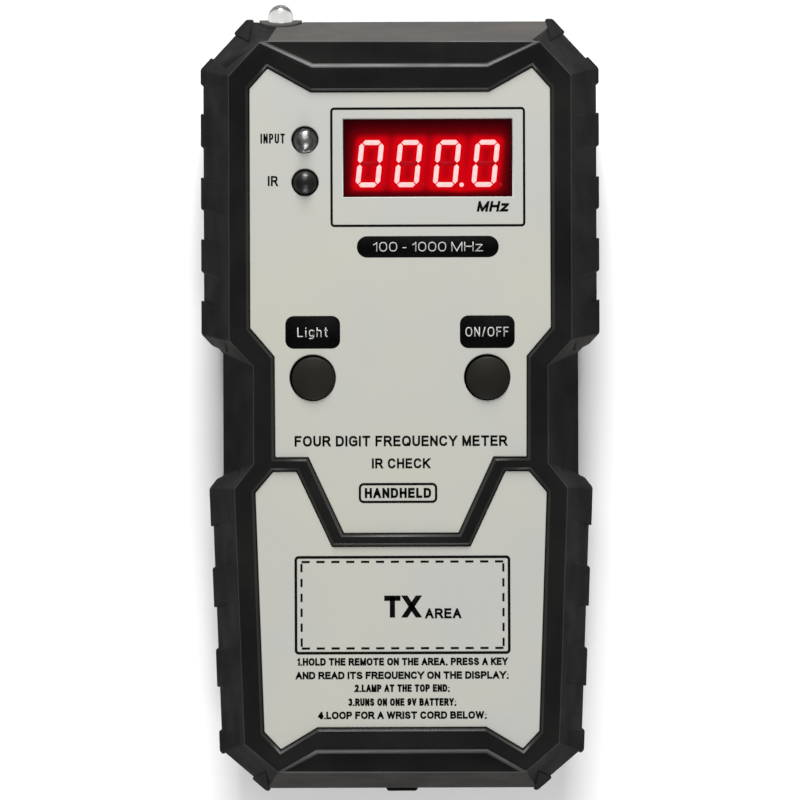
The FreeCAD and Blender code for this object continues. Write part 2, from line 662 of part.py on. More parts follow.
def build():
    os.makedirs("parts", exist_ok=True)
    write("front_shell", front_shell())
    write("back_shell", back_shell())
    write("battery_door", battery_door())
    write("upper_face_plate", upper_face_plate())
    write("lower_face_plate", lower_face_plate())
    write("display_window", display_window())
    bars = display_segments()
    write("display_module", display_module(bars))
    write("display_segments", bars)
    write("display_pins", display_pins())
    for name, (x, y) in BUTTONS.items():
        write(name + "_button", button(x + BUTTON_SIDE_PLAY, y - BUTTON_SIDE_PLAY))
        write(name + "_switch", switch_body(x, y))
        write(name + "_switch_stem", switch_stem(x, y))
    write("switch_legs", switch_legs())
    write("input_led", led_along_z(*INPUT_LED, LED_BASE_Z, LED_LENGTH))
    write("ir_receiver", led_along_z(*IR_SENSOR, LED_BASE_Z, LED_LENGTH))
    write("indicator_legs", led_legs())
    write("torch_led", torch_led())
    write("torch_collar", torch_collar())
    write("torch_leads", torch_leads())
    write("circuit_board", circuit_board())
    write("board_screws", board_screws())
    write("case_screws", case_screws())
    chip, legs = chip_with_legs(4.0, 31.0, 7.5, 17.8, 14)
    write("microcontroller", chip)
    write("microcontroller_legs", paired_legs(legs))
    chip, legs = chip_with_legs(-14.0, 31.0, 4.0, 5.0, 4)
    write("prescaler", chip)
    write("prescaler_legs", paired_legs(legs))
    write("crystal", crystal())
    write("regulator", regulator())
    write("capacitors", capacitors())
    write("capacitor_legs", capacitor_legs())
    write("resistors", resistors())
    write("pickup_coil", pickup_coil())
    write("battery", battery())
    write("battery_terminals", battery_terminals())
    write("battery_snap", battery_snap())
    write("battery_lead_red", battery_lead(-1))
    write("battery_lead_black", battery_lead(1))
    write("battery_pad", battery_pad())


build()
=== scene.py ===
import math
import bmesh
import bpy
import numpy as np
from mathutils import Matrix, Vector
from mathutils.bvhtree import BVHTree


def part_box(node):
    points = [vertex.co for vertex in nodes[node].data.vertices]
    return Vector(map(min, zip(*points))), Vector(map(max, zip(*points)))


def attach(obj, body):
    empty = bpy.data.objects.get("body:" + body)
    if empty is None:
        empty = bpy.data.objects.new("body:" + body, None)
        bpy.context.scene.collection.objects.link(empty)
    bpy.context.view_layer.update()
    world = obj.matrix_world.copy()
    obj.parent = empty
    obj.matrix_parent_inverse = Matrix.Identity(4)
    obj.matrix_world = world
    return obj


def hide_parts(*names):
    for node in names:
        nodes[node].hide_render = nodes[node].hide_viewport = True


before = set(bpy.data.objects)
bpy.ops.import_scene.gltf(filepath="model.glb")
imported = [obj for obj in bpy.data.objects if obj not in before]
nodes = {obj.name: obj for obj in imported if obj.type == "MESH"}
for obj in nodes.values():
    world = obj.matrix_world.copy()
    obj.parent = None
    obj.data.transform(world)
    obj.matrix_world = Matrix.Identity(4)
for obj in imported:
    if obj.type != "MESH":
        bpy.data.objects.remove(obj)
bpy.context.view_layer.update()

MM = 0.001

# ---------------------------------------------------------------- case shells and battery door
# Two half-shells and a sliding door, injection moulded in black ABS with a fine spark-eroded
# skin. Their edges leave the mould slightly rounded, so each shell's edges are softened here.
CASE_BLACK = (0.0078, 0.0078, 0.0078, 1)
CASE_DUSTY = (0.0145, 0.0142, 0.0136, 1)
# Painted shade: a darker tone that takes over low on the case's sides, in full at and below the height on
# the next line.
CASE_PAINTED_SHADE = (0.0058, 0.0058, 0.0058, 1)
PAINTED_SHADE_FULL_Z = 14 * MM
# Painted highlight: a lighter, glossier black for the rounded edges and the rim's slopes.
EDGE_HIGHLIGHT_DARK = (0.020, 0.020, 0.0195, 1)
EDGE_HIGHLIGHT_LIGHT = (0.032, 0.0315, 0.030, 1)
# Painted light on the torch end wall and the torch collar, as from the low lamp at that end.
TORCH_END_PAINTED_LIGHT = (0.046, 0.0435, 0.0415, 1)
TORCH_END_PAINTED_LIGHTER = (0.058, 0.0545, 0.0515, 1)
# Painted light on the loop end wall and the shoulders that face the waist, as from the low lamp at that
# end.
LOOP_END_PAINTED_LIGHT = (0.022, 0.021, 0.020, 1)
LOOP_END_PAINTED_LIGHTER = (0.034, 0.032, 0.030, 1)
# Where the painted end light and the painted shoulder light go.
END_WALL_Y = 68 * MM
END_WALL_X = 26 * MM
END_WALL_FACING = 0.75
SHOULDER_Y = (6 * MM, 14 * MM)
SHOULDER_FACING = -0.5
EDGE_ROUND = 0.32 * MM
DOOR_ROUND = 0.2 * MM
FINE_SHARE = 0.4
RIM_Z = 31.2 * MM
BEVEL_FOOT_Z = 30.4 * MM
ABOVE_RIM_Z = RIM_Z + 0.1 * MM
SLOPE_STEEPEST, SLOPE_SHALLOWEST, LOW_SLOPE_SHALLOWEST = 0.25, 0.9, 0.97
NEARLY_FLAT = 0.955
# Finish slots: plain, painted edge highlight, painted light at the torch end, painted light at the loop
# end.
PLAIN, PAINTED_EDGE_HIGHLIGHT, PAINTED_TORCH_END_LIGHT, PAINTED_LOOP_END_LIGHT = range(4)
SHARP_ANGLE = math.radians(11)


def new_material(name):
    """A material with its Principled shader, its node list and its link maker."""
    material = bpy.data.materials.new(name)
    material.use_nodes = True
    tree = material.node_tree
    return material, tree, tree.nodes["Principled BSDF"]


def add_node(tree, kind, **settings):
    node = tree.nodes.new(kind)
    for key, value in settings.items():
        if hasattr(node, key):
            setattr(node, key, value)
        else:
            node.inputs[key.replace("_", " ")].default_value = value
    return node


def noise(tree, scale, detail=3.0, roughness=0.5):
    """Noise on the piece's own Object coordinates, in cycles per metre."""
    place = add_node(tree, "ShaderNodeTexCoord")
    pattern = add_node(tree, "ShaderNodeTexNoise", Scale=scale, Detail=detail, Roughness=roughness)
    tree.links.new(place.outputs["Object"], pattern.inputs["Vector"])
    return pattern.outputs["Fac"]


def ramp(tree, source, stops):
    """A colour ramp over a 0 to 1 value; stops are (position, colour)."""
    node = add_node(tree, "ShaderNodeValToRGB")
    tree.links.new(source, node.inputs["Fac"])
    elements = node.color_ramp.elements
    while len(elements) < len(stops):
        elements.new(0.5)
    for element, (position, colour) in zip(elements, stops):
        element.position = position
        element.color = colour
    return node.outputs["Color"]


def spread(tree, source, low, high):
    """The 0 to 1 value stretched between low and high."""
    node = add_node(tree, "ShaderNodeMapRange")
    node.inputs["From Min"].default_value = 0.3
    node.inputs["From Max"].default_value = 0.7
    node.inputs["To Min"].default_value = low
    node.inputs["To Max"].default_value = high
    tree.links.new(source, node.inputs["Value"])
    return node.outputs["Result"]


def bump(tree, shader, height, strength, distance):
    node = add_node(tree, "ShaderNodeBump", Strength=strength, Distance=distance)
    tree.links.new(height, node.inputs["Height"])
    tree.links.new(node.outputs["Normal"], shader.inputs["Normal"])


def height_share(tree, low, high):
    """0 at a height and below, rising to 1 at another, on Object coordinates."""
    place = add_node(tree, "ShaderNodeTexCoord")
    split = add_node(tree, "ShaderNodeSeparateXYZ")
    share = add_node(tree, "ShaderNodeMapRange")
    share.inputs["From Min"].default_value = low
    share.inputs["From Max"].default_value = high
    tree.links.new(place.outputs["Object"], split.inputs["Vector"])
    tree.links.new(split.outputs["Z"], share.inputs["Value"])
    return share.outputs["Result"]


def moulded_plastic(name, dark, light, rough, grain_scale, grain_depth, shine=0.004, painted_shade=None):
    """Textured moulded plastic: two tones of handling and a fine grain. Where a painted shade tone
    is given, it takes over low on the sides: painted shade, darker towards the bottom."""
    material, tree, shader = new_material(name)
    handling, stops = noise(tree, 55.0, 5.0, 0.6), [(0.35, dark), (0.75, light)]
    if painted_shade:
        faded = add_node(tree, "ShaderNodeMath", operation="MULTIPLY")
        tree.links.new(handling, faded.inputs[0])
        tree.links.new(height_share(tree, PAINTED_SHADE_FULL_Z, RIM_Z), faded.inputs[1])
        handling, stops = faded.outputs[0], [(0.0, painted_shade)] + stops
    colour = ramp(tree, handling, stops)
    tree.links.new(colour, shader.inputs["Base Color"])
    tree.links.new(spread(tree, noise(tree, 140.0), rough[0], rough[1]), shader.inputs["Roughness"])
    shader.inputs["Specular IOR Level"].default_value = shine
    bump(tree, shader, noise(tree, grain_scale, 2.0, 0.65), 0.35, grain_depth)
    return material


def welded_copy(node):
    """A copy of a CAD node's mesh with its doubles merged."""
    shape = bmesh.new()
    shape.from_mesh(nodes[node].data)
    bmesh.ops.remove_doubles(shape, verts=shape.verts, dist=1e-6)
    return shape


def piece_from(shape, name, material):
    """A new object from a bmesh, with one material and smooth faces."""
    mesh = bpy.data.meshes.new(name)
    shape.to_mesh(mesh)
    shape.free()
    mesh.materials.append(material)
    mesh.polygons.foreach_set("use_smooth", [True] * len(mesh.polygons))
    piece = bpy.data.objects.new(name, mesh)
    bpy.context.scene.collection.objects.link(piece)
    return piece


def baked(piece):
    """The piece with its modifiers applied to its mesh."""
    seen = piece.evaluated_get(bpy.context.evaluated_depsgraph_get())
    mesh = bpy.data.meshes.new_from_object(seen)
    piece.modifiers.clear()
    piece.data = mesh
    return piece


def mark_outer_edges(shape, fine_above):
    """Full weight on the outer convex edges, less on those above a height, none inside."""
    tree = BVHTree.FromBMesh(shape)
    weight = shape.edges.layers.float.new("bevel_weight_edge")
    for edge in shape.edges:
        if len(edge.link_faces) != 2 or not edge.is_convex:
            continue
        if edge.calc_face_angle() < SHARP_ANGLE:
            continue
        a, b = (v.co for v in edge.verts)
        out = (edge.link_faces[0].normal + edge.link_faces[1].normal).normalized()
        if tree.ray_cast((a + b) / 2 + out * 0.01 * MM, out)[0] is None:
            edge[weight] = FINE_SHARE if max(a.z, b.z) > fine_above else 1.0


def painted_light_finish(face):
    """Which painted light a face of a shell takes before its edges are rounded: the painted edge highlight,
    the painted light of an end, or none.
    """
    y, normal = face.center.y, face.normal
    outwards = normal.y if y > 0 else -normal.y
    shallowest = LOW_SLOPE_SHALLOWEST if face.center.z < ABOVE_RIM_Z else SLOPE_SHALLOWEST
    # Rim slopes above the bevel's foot take the painted edge highlight.
    if face.center.z > BEVEL_FOOT_Z and SLOPE_STEEPEST < normal.z < shallowest:
        return PAINTED_EDGE_HIGHLIGHT
    # End walls facing outwards take their end's painted light.
    if abs(y) > END_WALL_Y and abs(face.center.x) < END_WALL_X and outwards > END_WALL_FACING:
        return PAINTED_TORCH_END_LIGHT if y > 0 else PAINTED_LOOP_END_LIGHT
    # Shoulders facing the waist take the loop end's painted light.
    faces_waist = normal.y < SHOULDER_FACING and normal.x * face.center.x > 0
    return PAINTED_LOOP_END_LIGHT if SHOULDER_Y[0] < y < SHOULDER_Y[1] and faces_waist else PLAIN


def softened(node, width, material, fine_above=1.0, painted_light_finishes=()):
    """A CAD node's shape with its outer edges rounded, which stands for the node. A painted highlight
    goes on its rim's slopes and edges, and painted light on its torch end wall and on its loop end wall and
    shoulders."""
    shape = welded_copy(node)
    mark_outer_edges(shape, fine_above)
    piece = piece_from(shape, node + "_moulding", material)
    rounds = piece.modifiers.new("rounds", "BEVEL")
    rounds.width = width
    for finish in painted_light_finishes:
        piece.data.materials.append(finish)
    # Faces take their painted light, and the rounds take the painted edge highlight.
    if painted_light_finishes:
        rounds.material = PAINTED_EDGE_HIGHLIGHT
        for face in piece.data.polygons:
            face.material_index = painted_light_finish(face)
    rounds.segments = 2
    rounds.limit_method = "WEIGHT"
    rounds.use_clamp_overlap = False
    rounds.loop_slide = False
    even = piece.modifiers.new("flat faces", "WEIGHTED_NORMAL")
    even.keep_sharp = True
    baked(piece)
    # Nearly flat faces above the rim, and faces below the bevel's foot, go back to plain: no painted
    # highlight there.
    for face in piece.data.polygons:
        nearly_flat = face.center.z > ABOVE_RIM_Z and face.normal.z > NEARLY_FLAT
        if face.material_index == PAINTED_EDGE_HIGHLIGHT and (nearly_flat or face.center.z < BEVEL_FOOT_Z):
            face.material_index = PLAIN
    return piece


def settle(piece, body, slot, *replaced):
    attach(piece, body)
    if replaced:
        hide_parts(*replaced)


# The case's own black, with painted shade low on its sides.
case_black = moulded_plastic("case black", CASE_BLACK, CASE_DUSTY, (0.36, 0.5), 5200.0, 0.00004,
                             painted_shade=CASE_PAINTED_SHADE)
# Painted highlight for the rounded edges and rim slopes: a lighter, glossier black.
case_edge_highlight = moulded_plastic("case edge, painted highlight", EDGE_HIGHLIGHT_DARK, EDGE_HIGHLIGHT_LIGHT, (0.3, 0.42), 5200.0,
                            0.00001, 0.14)
# Painted light for the end walls and shoulders: lighter greys than the case's black.
torch_end_light, loop_end_light = (
    moulded_plastic("case %s end, painted end light" % end, painted_light_tone, painted_lighter_tone, (0.4, 0.55), 5200.0, 0.00004)
    for end, painted_light_tone, painted_lighter_tone in (("torch", TORCH_END_PAINTED_LIGHT, TORCH_END_PAINTED_LIGHTER),
                              ("loop", LOOP_END_PAINTED_LIGHT, LOOP_END_PAINTED_LIGHTER)))
for node, body, width in (("front_shell", "case", EDGE_ROUND), ("back_shell", "case", EDGE_ROUND),
                          ("battery_door", "battery_cover", DOOR_ROUND)):
    moulding = softened(node, width, case_black, RIM_Z, (case_edge_highlight, torch_end_light, loop_end_light))
    settle(moulding, body, "case_plastic", node)

# ---------------------------------------------------------------- face plates
# Two off-white printed sheets, glued into the front shell's pockets. They are cut from satin
# plastic sheet, so the surface is smooth with a faint cloudiness.
SHEET_WARM = (0.438, 0.430, 0.378, 1)
SHEET_COOL = (0.415, 0.418, 0.393, 1)
SHEET_ROUND = 0.18 * MM
PLATES = ("upper_face_plate", "lower_face_plate")


def face_sheet():
    material, tree, shader = new_material("face sheet")
    colour = ramp(tree, noise(tree, 32.0, 4.0, 0.55), [(0.38, SHEET_WARM), (0.62, SHEET_COOL)])
    tree.links.new(colour, shader.inputs["Base Color"])
    tree.links.new(spread(tree, noise(tree, 900.0), 0.34, 0.42), shader.inputs["Roughness"])
    bump(tree, shader, noise(tree, 2600.0, 2.0), 0.08, 0.00002)
    return material


sheet = face_sheet()
for node in PLATES:
    plate = softened(node, SHEET_ROUND, sheet)
    settle(plate, "case", "face_sheet", node)
PLATE_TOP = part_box("upper_face_plate")[1].z

# ---------------------------------------------------------------- printing on the face plates
# Screen-printed ink: frames, filled labels and plain words. The film of ink stands a few
# hundredths of a millimetre proud of the sheet, and is built here as thin solids.
INK_BLACK = (0.0028, 0.0028, 0.0028, 1)
INK_BLACK_THIN = (0.0048, 0.0048, 0.0048, 1)
INK_WHITE = (0.50, 0.50, 0.48, 1)
INK_WHITE_THIN = (0.40, 0.40, 0.38, 1)
INK_T = 0.02 * MM


def ink(name, full, thin):
    material, tree, shader = new_material(name)
    colour = ramp(tree, noise(tree, 2400.0, 3.0), [(0.4, full), (0.7, thin)])
    tree.links.new(colour, shader.inputs["Base Color"])
    tree.links.new(spread(tree, noise(tree, 700.0), 0.5, 0.62), shader.inputs["Roughness"])
    shader.inputs["Specular IOR Level"].default_value = 0.01
    return material


def rounded_box(w, h, r, steps=6):
    """Corners of a w by h rectangle with rounded corners, anticlockwise."""
    points = []
    for cx, cy, start in ((1, 1, 0), (-1, 1, 90), (-1, -1, 180), (1, -1, 270)):
        for k in range(steps + 1):
            a = math.radians(start + 90 * k / steps)
            points.append((cx * (w / 2 - r) + r * math.cos(a), cy * (h / 2 - r) + r * math.sin(a)))
    return points


def add_slab(shape, points, x, y, z, thickness):
    """A flat slab with the given outline."""
    low = [shape.verts.new((x + px, y + py, z)) for px, py in points]
    high = [shape.verts.new((x + px, y + py, z + thickness)) for px, py in points]
    shape.faces.new(high)
    shape.faces.new(low[::-1])
    for i in range(len(points)):
        j = (i + 1) % len(points)
        shape.faces.new((low[i], low[j], high[j], high[i]))


def add_ring(shape, outer, inner, x, y, z, thickness):
    """A flat ring between two outlines with the same number of corners."""
    rings = [[shape.verts.new((x + px, y + py, level)) for px, py in points]
             for points in (outer, inner) for level in (z, z + thickness)]
    out_low, out_high, in_low, in_high = rings
    for a, b in ((out_low, out_high), (out_high, in_high), (in_high, in_low), (in_low, out_low)):
        for i in range(len(a)):
            j = (i + 1) % len(a)
            shape.faces.new((a[i], a[j], b[j], b[i]))


def add_frame(shape, w, h, r, line, x, y, z, thickness):
    """A line frame: the strip between two rounded rectangles."""
    outer, inner = (rounded_box(w + grow, h + grow, r + grow / 2) for grow in (line, -line))
    add_ring(shape, outer, inner, x, y, z, thickness)


# Plain sans letters as pen strokes, in eighths of the capital height. Strokes are parted by a
# bar; ~ marks the control point of a curve and a stroke that ends in o is closed.
GLYPHS = {
    "A": "0,0 3,8 6,0 | 1.1,2.8 4.9,2.8", "I": "0,0 0,8", "T": "0,8 5.6,8 | 2.8,8 2.8,0",
    "B": "0,0 0,8 | 0,8 3,8 5,8~ 5,4.2~ 3,4.2 0,4.2 | 3,4.2 5.6,4.2~ 5.6,0~ 3,0 0,0",
    "C": "5.9,5.7 5.3,8~ 3.2,8 0,8~ 0,4 0,0~ 3.2,0 5.4,0~ 6,2.6",
    "D": "0,0 0,8 | 0,8 2.4,8 5.8,8~ 5.8,4 5.8,0~ 2.4,0 0,0", "E": "4.9,0 0,0 0,8 4.7,8 | 0,4.2 4.4,4.2",
    "F": "0,0 0,8 4.6,8 | 0,4.2 3.9,4.2", "H": "0,0 0,8 | 5.4,0 5.4,8 | 0,4.2 5.4,4.2",
    "G": "6.1,5.9 5.4,8~ 3.4,8 0,8~ 0,4 0,0~ 3.4,0 5,0~ 6.2,1 6.2,3.8 3.6,3.8",
    "K": "0,0 0,8 | 5.2,8 0,3 | 1.9,4.6 5.4,0",
    "L": "0,8 0,0 4.3,0", "M": "0,0 0,8 3.2,0 6.4,8 6.4,0", "N": "0,0 0,8 5.3,0 5.3,8",
    "O": "0,0~ 6.6,0~ 6.6,8~ 0,8~ o", "P": "0,0 0,8 | 0,8 3,8 5.2,8~ 5.2,3.7~ 3,3.7 0,3.7",
    "Q": "0,0~ 6.6,0~ 6.6,8~ 0,8~ o | 3.8,2 6.6,-0.4",
    "R": "0,0 0,8 | 0,8 3.2,8 5.5,8~ 5.5,4~ 3.2,4 0,4 | 2.6,4 3.6,4~ 5.8,0",
    "S": "5.1,5.9 4.9,8~ 2.6,8 0.2,8~ 0.2,6 0.2,4.7~ 2.7,4.1 5.4,3.5~ 5.4,2 5.4,0~ 2.7,0 0.2,0~ 0,2.4",
    "U": "0,8 0,3 0,0~ 2.7,0 5.4,0~ 5.4,3 5.4,8", "V": "0,8 2.9,0 5.8,8",
    "W": "0,8 2.1,0 4.4,8 6.7,0 8.8,8",
    "X": "0,0 5.6,8 | 0,8 5.6,0", "Y": "0,8 2.9,3.5 5.8,8 | 2.9,3.5 2.9,0",
    "0": "0,0~ 4.6,0~ 4.6,8~ 0,8~ o", "1": "0,5.8 1.6,6.4~ 2.3,8 2.3,0",
    "2": "0,5.7 0,8~ 2.3,8 4.6,8~ 4.6,5.8 4.6,3.8~ 0,0 4.8,0",
    "3": "0,6.2 0.4,8~ 2.2,8 4.3,8~ 4.3,6 4.3,4.3~ 1.8,4.3 "
         "| 1.8,4.3 4.7,4.3~ 4.7,2.2 4.7,0~ 2.2,0 0.2,0~ 0,2.2",
    "4": "3.6,0 3.6,8 0,2.4 4.9,2.4", "9": "0,3.2~ 4.6,3.2~ 4.6,8~ 0,8~ o | 4.6,5.6 4.6,0~ 0.5,0.6",
    "g": "0,0.4~ 4,0.4~ 4,6~ 0,6~ o | 4,6 4,0 4,-2.3~ 0.3,-1.9",
    "h": "0,0 0,8 | 0,3.6 0,5.8~ 2,5.8 3.8,5.8~ 3.8,3.6 3.8,0", "i": "0,0 0,5.8 | 0,7.2 0,8",
    "t": "1,8 1,1.4 1,0~ 2.4,0.1 | 0,5.8 2.4,5.8",
    "z": "0,5.8 4,5.8 0,0 4.2,0", " ": "", ".": "0,0 0,0.7", ",": "0.6,0.7 0,-1.7",
    ";": "0.6,0.7 0,-1.7 | 0.5,4.4 0.5,5.2", "-": "0,3.1 2,3.1", "/": "0,0 2.6,8"}
GLYPH_H = 8.0
CLEAR = 0.13
SPACE_W = 0.3
CURVE_STEPS = 5


def pen_strokes(glyph):
    """The glyph's strokes as point lists with the curves cut into short steps."""
    for text in filter(None, glyph.split(" | ")):
        marks = text.split()
        closed = marks[-1] == "o"
        marks = marks[:-1] if closed else marks
        places = [tuple(float(v) for v in mark.strip("~").split(",")) for mark in marks]
        soft = [mark.endswith("~") for mark in marks]
        points = []
        for i, (x, y) in enumerate(places):
            if not soft[i]:
                points.append((x, y))
                continue
            ends = []
            for j in (i - 1, (i + 1) % len(places)):
                px, py = places[j]
                ends.append(((px + x) / 2, (py + y) / 2) if soft[j] else (px, py))
            for k in range(0 if soft[i - 1] else 1, CURVE_STEPS):
                t = k / CURVE_STEPS
                points.append(tuple((1 - t) ** 2 * p0 + 2 * t * (1 - t) * p1 + t * t * p2
                                    for p0, p1, p2 in zip(ends[0], (x, y), ends[1])))
        yield points, closed


def edge_line(p, q, h, side):
    """Start, end and direction of the segment's edge, h to its left (side 1) or right (-1)."""
    length = math.hypot(q[0] - p[0], q[1] - p[1])
    ux, uy = (q[0] - p[0]) / length, (q[1] - p[1]) / length
    ox, oy = -uy * h * side, ux * h * side
    return (p[0] + ox, p[1] + oy), (q[0] + ox, q[1] + oy), (ux, uy)


def cut_level(point, way, h, at_y, height):
    """The point slid along its edge to the level where letters are cut off, or square past an end."""
    if min(abs(at_y), abs(at_y - height)) < 0.01 * height and abs(way[1]) > 0.5:
        level = -h if at_y < height / 2 else height + h
        slide = (level - point[1]) / way[1]
    else:
        slide = h if abs(way[1]) < 0.05 else 0.0
    return point[0] + slide * way[0], point[1] + slide * way[1]


def pen_edge(points, closed, h, side, height):
    """One edge of a stroke of half width h, mitred, with sharp corners cut flat."""
    count = len(points)
    edge = []
    for i in range(count):
        if not closed and i == 0:
            start, _, way = edge_line(points[0], points[1], h, side)
            edge.append(cut_level(start, (-way[0], -way[1]), h, points[0][1], height))
        elif not closed and i == count - 1:
            _, end, way = edge_line(points[-2], points[-1], h, side)
            edge.append(cut_level(end, way, h, points[-1][1], height))
        else:
            _, end, came = edge_line(points[i - 1], points[i], h, side)
            start, _, goes = edge_line(points[i], points[(i + 1) % count], h, side)
            turn = (came[0] * goes[1] - came[1] * goes[0]) * side
            bend = came[0] * goes[0] + came[1] * goes[1]
            if bend < -0.55 and turn < 0:
                edge.append(cut_level(end, came, h, points[i][1], height))
                edge.append(cut_level(start, (-goes[0], -goes[1]), h, points[i][1], height))
            else:
                reach = (1 - bend) / turn if abs(turn) > 1e-6 else 0.0
                edge.append((end[0] - came[0] * h * reach, end[1] - came[1] * h * reach))
    return edge


def glyph_width(letter):
    if letter == " ":
        return SPACE_W
    return max(x for points, closed in pen_strokes(GLYPHS[letter]) for x, y in points)


def add_words(shape, words, x, y, width, cap, z, weight=0.14, lean=0.0, clear=CLEAR):
    """Words centred on x, with their capitals centred on y, as wide and as tall as asked."""
    h = weight * cap / 2
    tall = cap - 2 * h
    up = tall / GLYPH_H
    gap = 2 * h + clear * cap
    natural = sum(glyph_width(letter) for letter in words)
    across = (width - 2 * h - gap * (len(words) - 1)) / natural
    pen_x = x - width / 2 + h
    for letter in words:
        for points, closed in pen_strokes(GLYPHS[letter]):
            places = [(px * across, py * up) for px, py in points]
            left, right = (pen_edge(places, closed, h, side, tall) for side in (1, -1))
            left, right = ([(px + lean * (py - tall / 2), py - tall / 2) for px, py in edge]
                           for edge in (left, right))
            if closed:
                add_ring(shape, right, left, pen_x, y, z, INK_T)
            else:
                add_slab(shape, right + left[::-1], pen_x, y, z, INK_T)
        pen_x += glyph_width(letter) * across + gap


window_low, window_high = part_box("display_window")
window_mid = (window_low + window_high) / 2
button_at = {}
for side in ("light", "power"):
    low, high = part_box(side + "_switch_stem")
    button_at[side] = (low + high) / 2

black = ink("black ink", INK_BLACK, INK_BLACK_THIN)
white = ink("white ink", INK_WHITE, INK_WHITE_THIN)
z = PLATE_TOP

# Frame around the display, its unit, and the range label under it
FRAME_W, FRAME_H, FRAME_LINE, FRAME_R = 37.4 * MM, 22.75 * MM, 0.46 * MM, 0.55 * MM
FRAME_DROP = 1.82 * MM
LABEL_W, LABEL_H, LABEL_R = 10.65 * MM, 6.35 * MM, 1.65 * MM
LABEL_RISE = 8.85 * MM
RANGE_W, RANGE_H = 27.55 * MM, 4.15 * MM
RANGE_Y = 29.75 * MM
RANGE_X = 5.35 * MM
BADGE_X, BADGE_Y = -0.6 * MM, -18.05 * MM
BADGE_W, BADGE_H, BADGE_R = 14.8 * MM, 3.45 * MM, 0.75 * MM
# Words, centre x and y, width and capital height in millimetres; pen weight and lean
BLACK_WORDS = [("MHz", 18.1, 37.55, 6.1, 2.05, 0.24, 0.2), ("INPUT", -24.7, 50.85, 4.75, 1.9, 0.17, 0.0),
               ("IR", -24.7, 42.6, 1.95, 1.95, 0.18, 0.0),
               ("FOUR DIGIT FREQUENCY METER", 0.0, -7.95, 41.3, 2.05, 0.2, 0.0),
               ("IR CHECK", 0.0, -12.3, 11.3, 1.95, 0.2, 0.0),
               ("HANDHELD", -0.6, -18.05, 12.9, 1.95, 0.24, 0.0)]
WHITE_CAP = 1.85 * MM
upper = bmesh.new()
add_frame(upper, FRAME_W, FRAME_H, FRAME_R, FRAME_LINE, window_mid.x, window_mid.y - FRAME_DROP, z,
          INK_T)
add_slab(upper, rounded_box(RANGE_W, RANGE_H, RANGE_H / 2 - 0.05 * MM, 10), RANGE_X, RANGE_Y, z, INK_T)
for side in ("light", "power"):
    add_slab(upper, rounded_box(LABEL_W, LABEL_H, LABEL_R, 8), button_at[side].x + 0.05 * MM,
             button_at[side].y + LABEL_RISE, z, INK_T)
add_frame(upper, BADGE_W, BADGE_H, BADGE_R, FRAME_LINE, BADGE_X, BADGE_Y, z, INK_T)
for words, x, y, width, cap, weight, lean in BLACK_WORDS:
    add_words(upper, words, x * MM, y * MM, width * MM, cap * MM, z, weight, lean)
upper_black = piece_from(upper, "upper_plate_black_print", black)
settle(upper_black, "case", "face_sheet")

upper = bmesh.new()
top_z = z + INK_T
add_words(upper, "100 - 1000 MHz", RANGE_X, RANGE_Y, 21.4 * MM, WHITE_CAP, top_z, 0.1, 0.0, 0.2)
add_words(upper, "Light", button_at["light"].x, button_at["light"].y + LABEL_RISE, 5.9 * MM,
          WHITE_CAP, top_z, 0.115, 0.0, 0.26)
add_words(upper, "ON/OFF", button_at["power"].x, button_at["power"].y + LABEL_RISE, 8.4 * MM,
          WHITE_CAP, top_z, 0.115, 0.0, 0.22)
upper_white = piece_from(upper, "upper_plate_white_print", white)
settle(upper_white, "case", "face_sheet")

# Transmitter area on the lower plate: a line frame with a dashed one inside it, and plain notes
ZONE_X, ZONE_Y = 0.2 * MM, -39.8 * MM
ZONE_W, ZONE_H = 41.4 * MM, 18.6 * MM
# Words, centre y, width and centre x in millimetres
NOTES = [("1.HOLD THE REMOTE ON THE AREA, PRESS A KEY", -50.8, 41.0, 0.1),
         ("AND READ ITS FREQUENCY ON THE DISPLAY;", -53.45, 41.4, 0.1),
         ("2.LAMP AT THE TOP END;", -55.95, 18.5, 0.1),
         ("3.RUNS ON ONE 9V BATTERY;", -58.65, 21.0, 0.1),
         ("4.LOOP FOR A WRIST CORD BELOW;", -61.2, 32.8, 0.1)]
NOTE_CAP = 1.45 * MM
lower = bmesh.new()
add_frame(lower, ZONE_W, ZONE_H, 0.55 * MM, 0.52 * MM, ZONE_X, ZONE_Y, z, INK_T)
add_words(lower, "TX", 0.1 * MM, -40.1 * MM, 6.9 * MM, 4.25 * MM, z, 0.24)
add_words(lower, "AREA", 8.1 * MM, -41.45 * MM, 7.0 * MM, 1.95 * MM, z, 0.22)
for words, y, width, x in NOTES:
    add_words(lower, words, x * MM, y * MM, width * MM, NOTE_CAP, z, 0.25, 0.0, 0.06)
lower_black = piece_from(lower, "lower_plate_black_print", black)
settle(lower_black, "case", "face_sheet")


def socket_id(tree, name):
    for item in tree.interface.items_tree:
        if item.item_type == "SOCKET" and item.in_out == "INPUT" and item.name == name:
            return item.identifier


def repeat_tree(name, inputs):
    """An empty geometry tree with a Geometry input, the named inputs and its end nodes."""
    tree = bpy.data.node_groups.new(name, "GeometryNodeTree")
    tree.interface.new_socket("Geometry", in_out="INPUT", socket_type="NodeSocketGeometry")
    for label, kind in inputs:
        tree.interface.new_socket(label, in_out="INPUT", socket_type=kind)
    tree.interface.new_socket("Geometry", in_out="OUTPUT", socket_type="NodeSocketGeometry")
    start = tree.nodes.new("NodeGroupInput")
    realize = tree.nodes.new("GeometryNodeRealizeInstances")
    paint = tree.nodes.new("GeometryNodeSetMaterial")
    end = tree.nodes.new("NodeGroupOutput")
    tree.links.new(start.outputs["Material"], paint.inputs["Material"])
    tree.links.new(realize.outputs["Geometry"], paint.inputs["Geometry"])
    tree.links.new(paint.outputs["Geometry"], end.inputs["Geometry"])
    return tree, start, realize


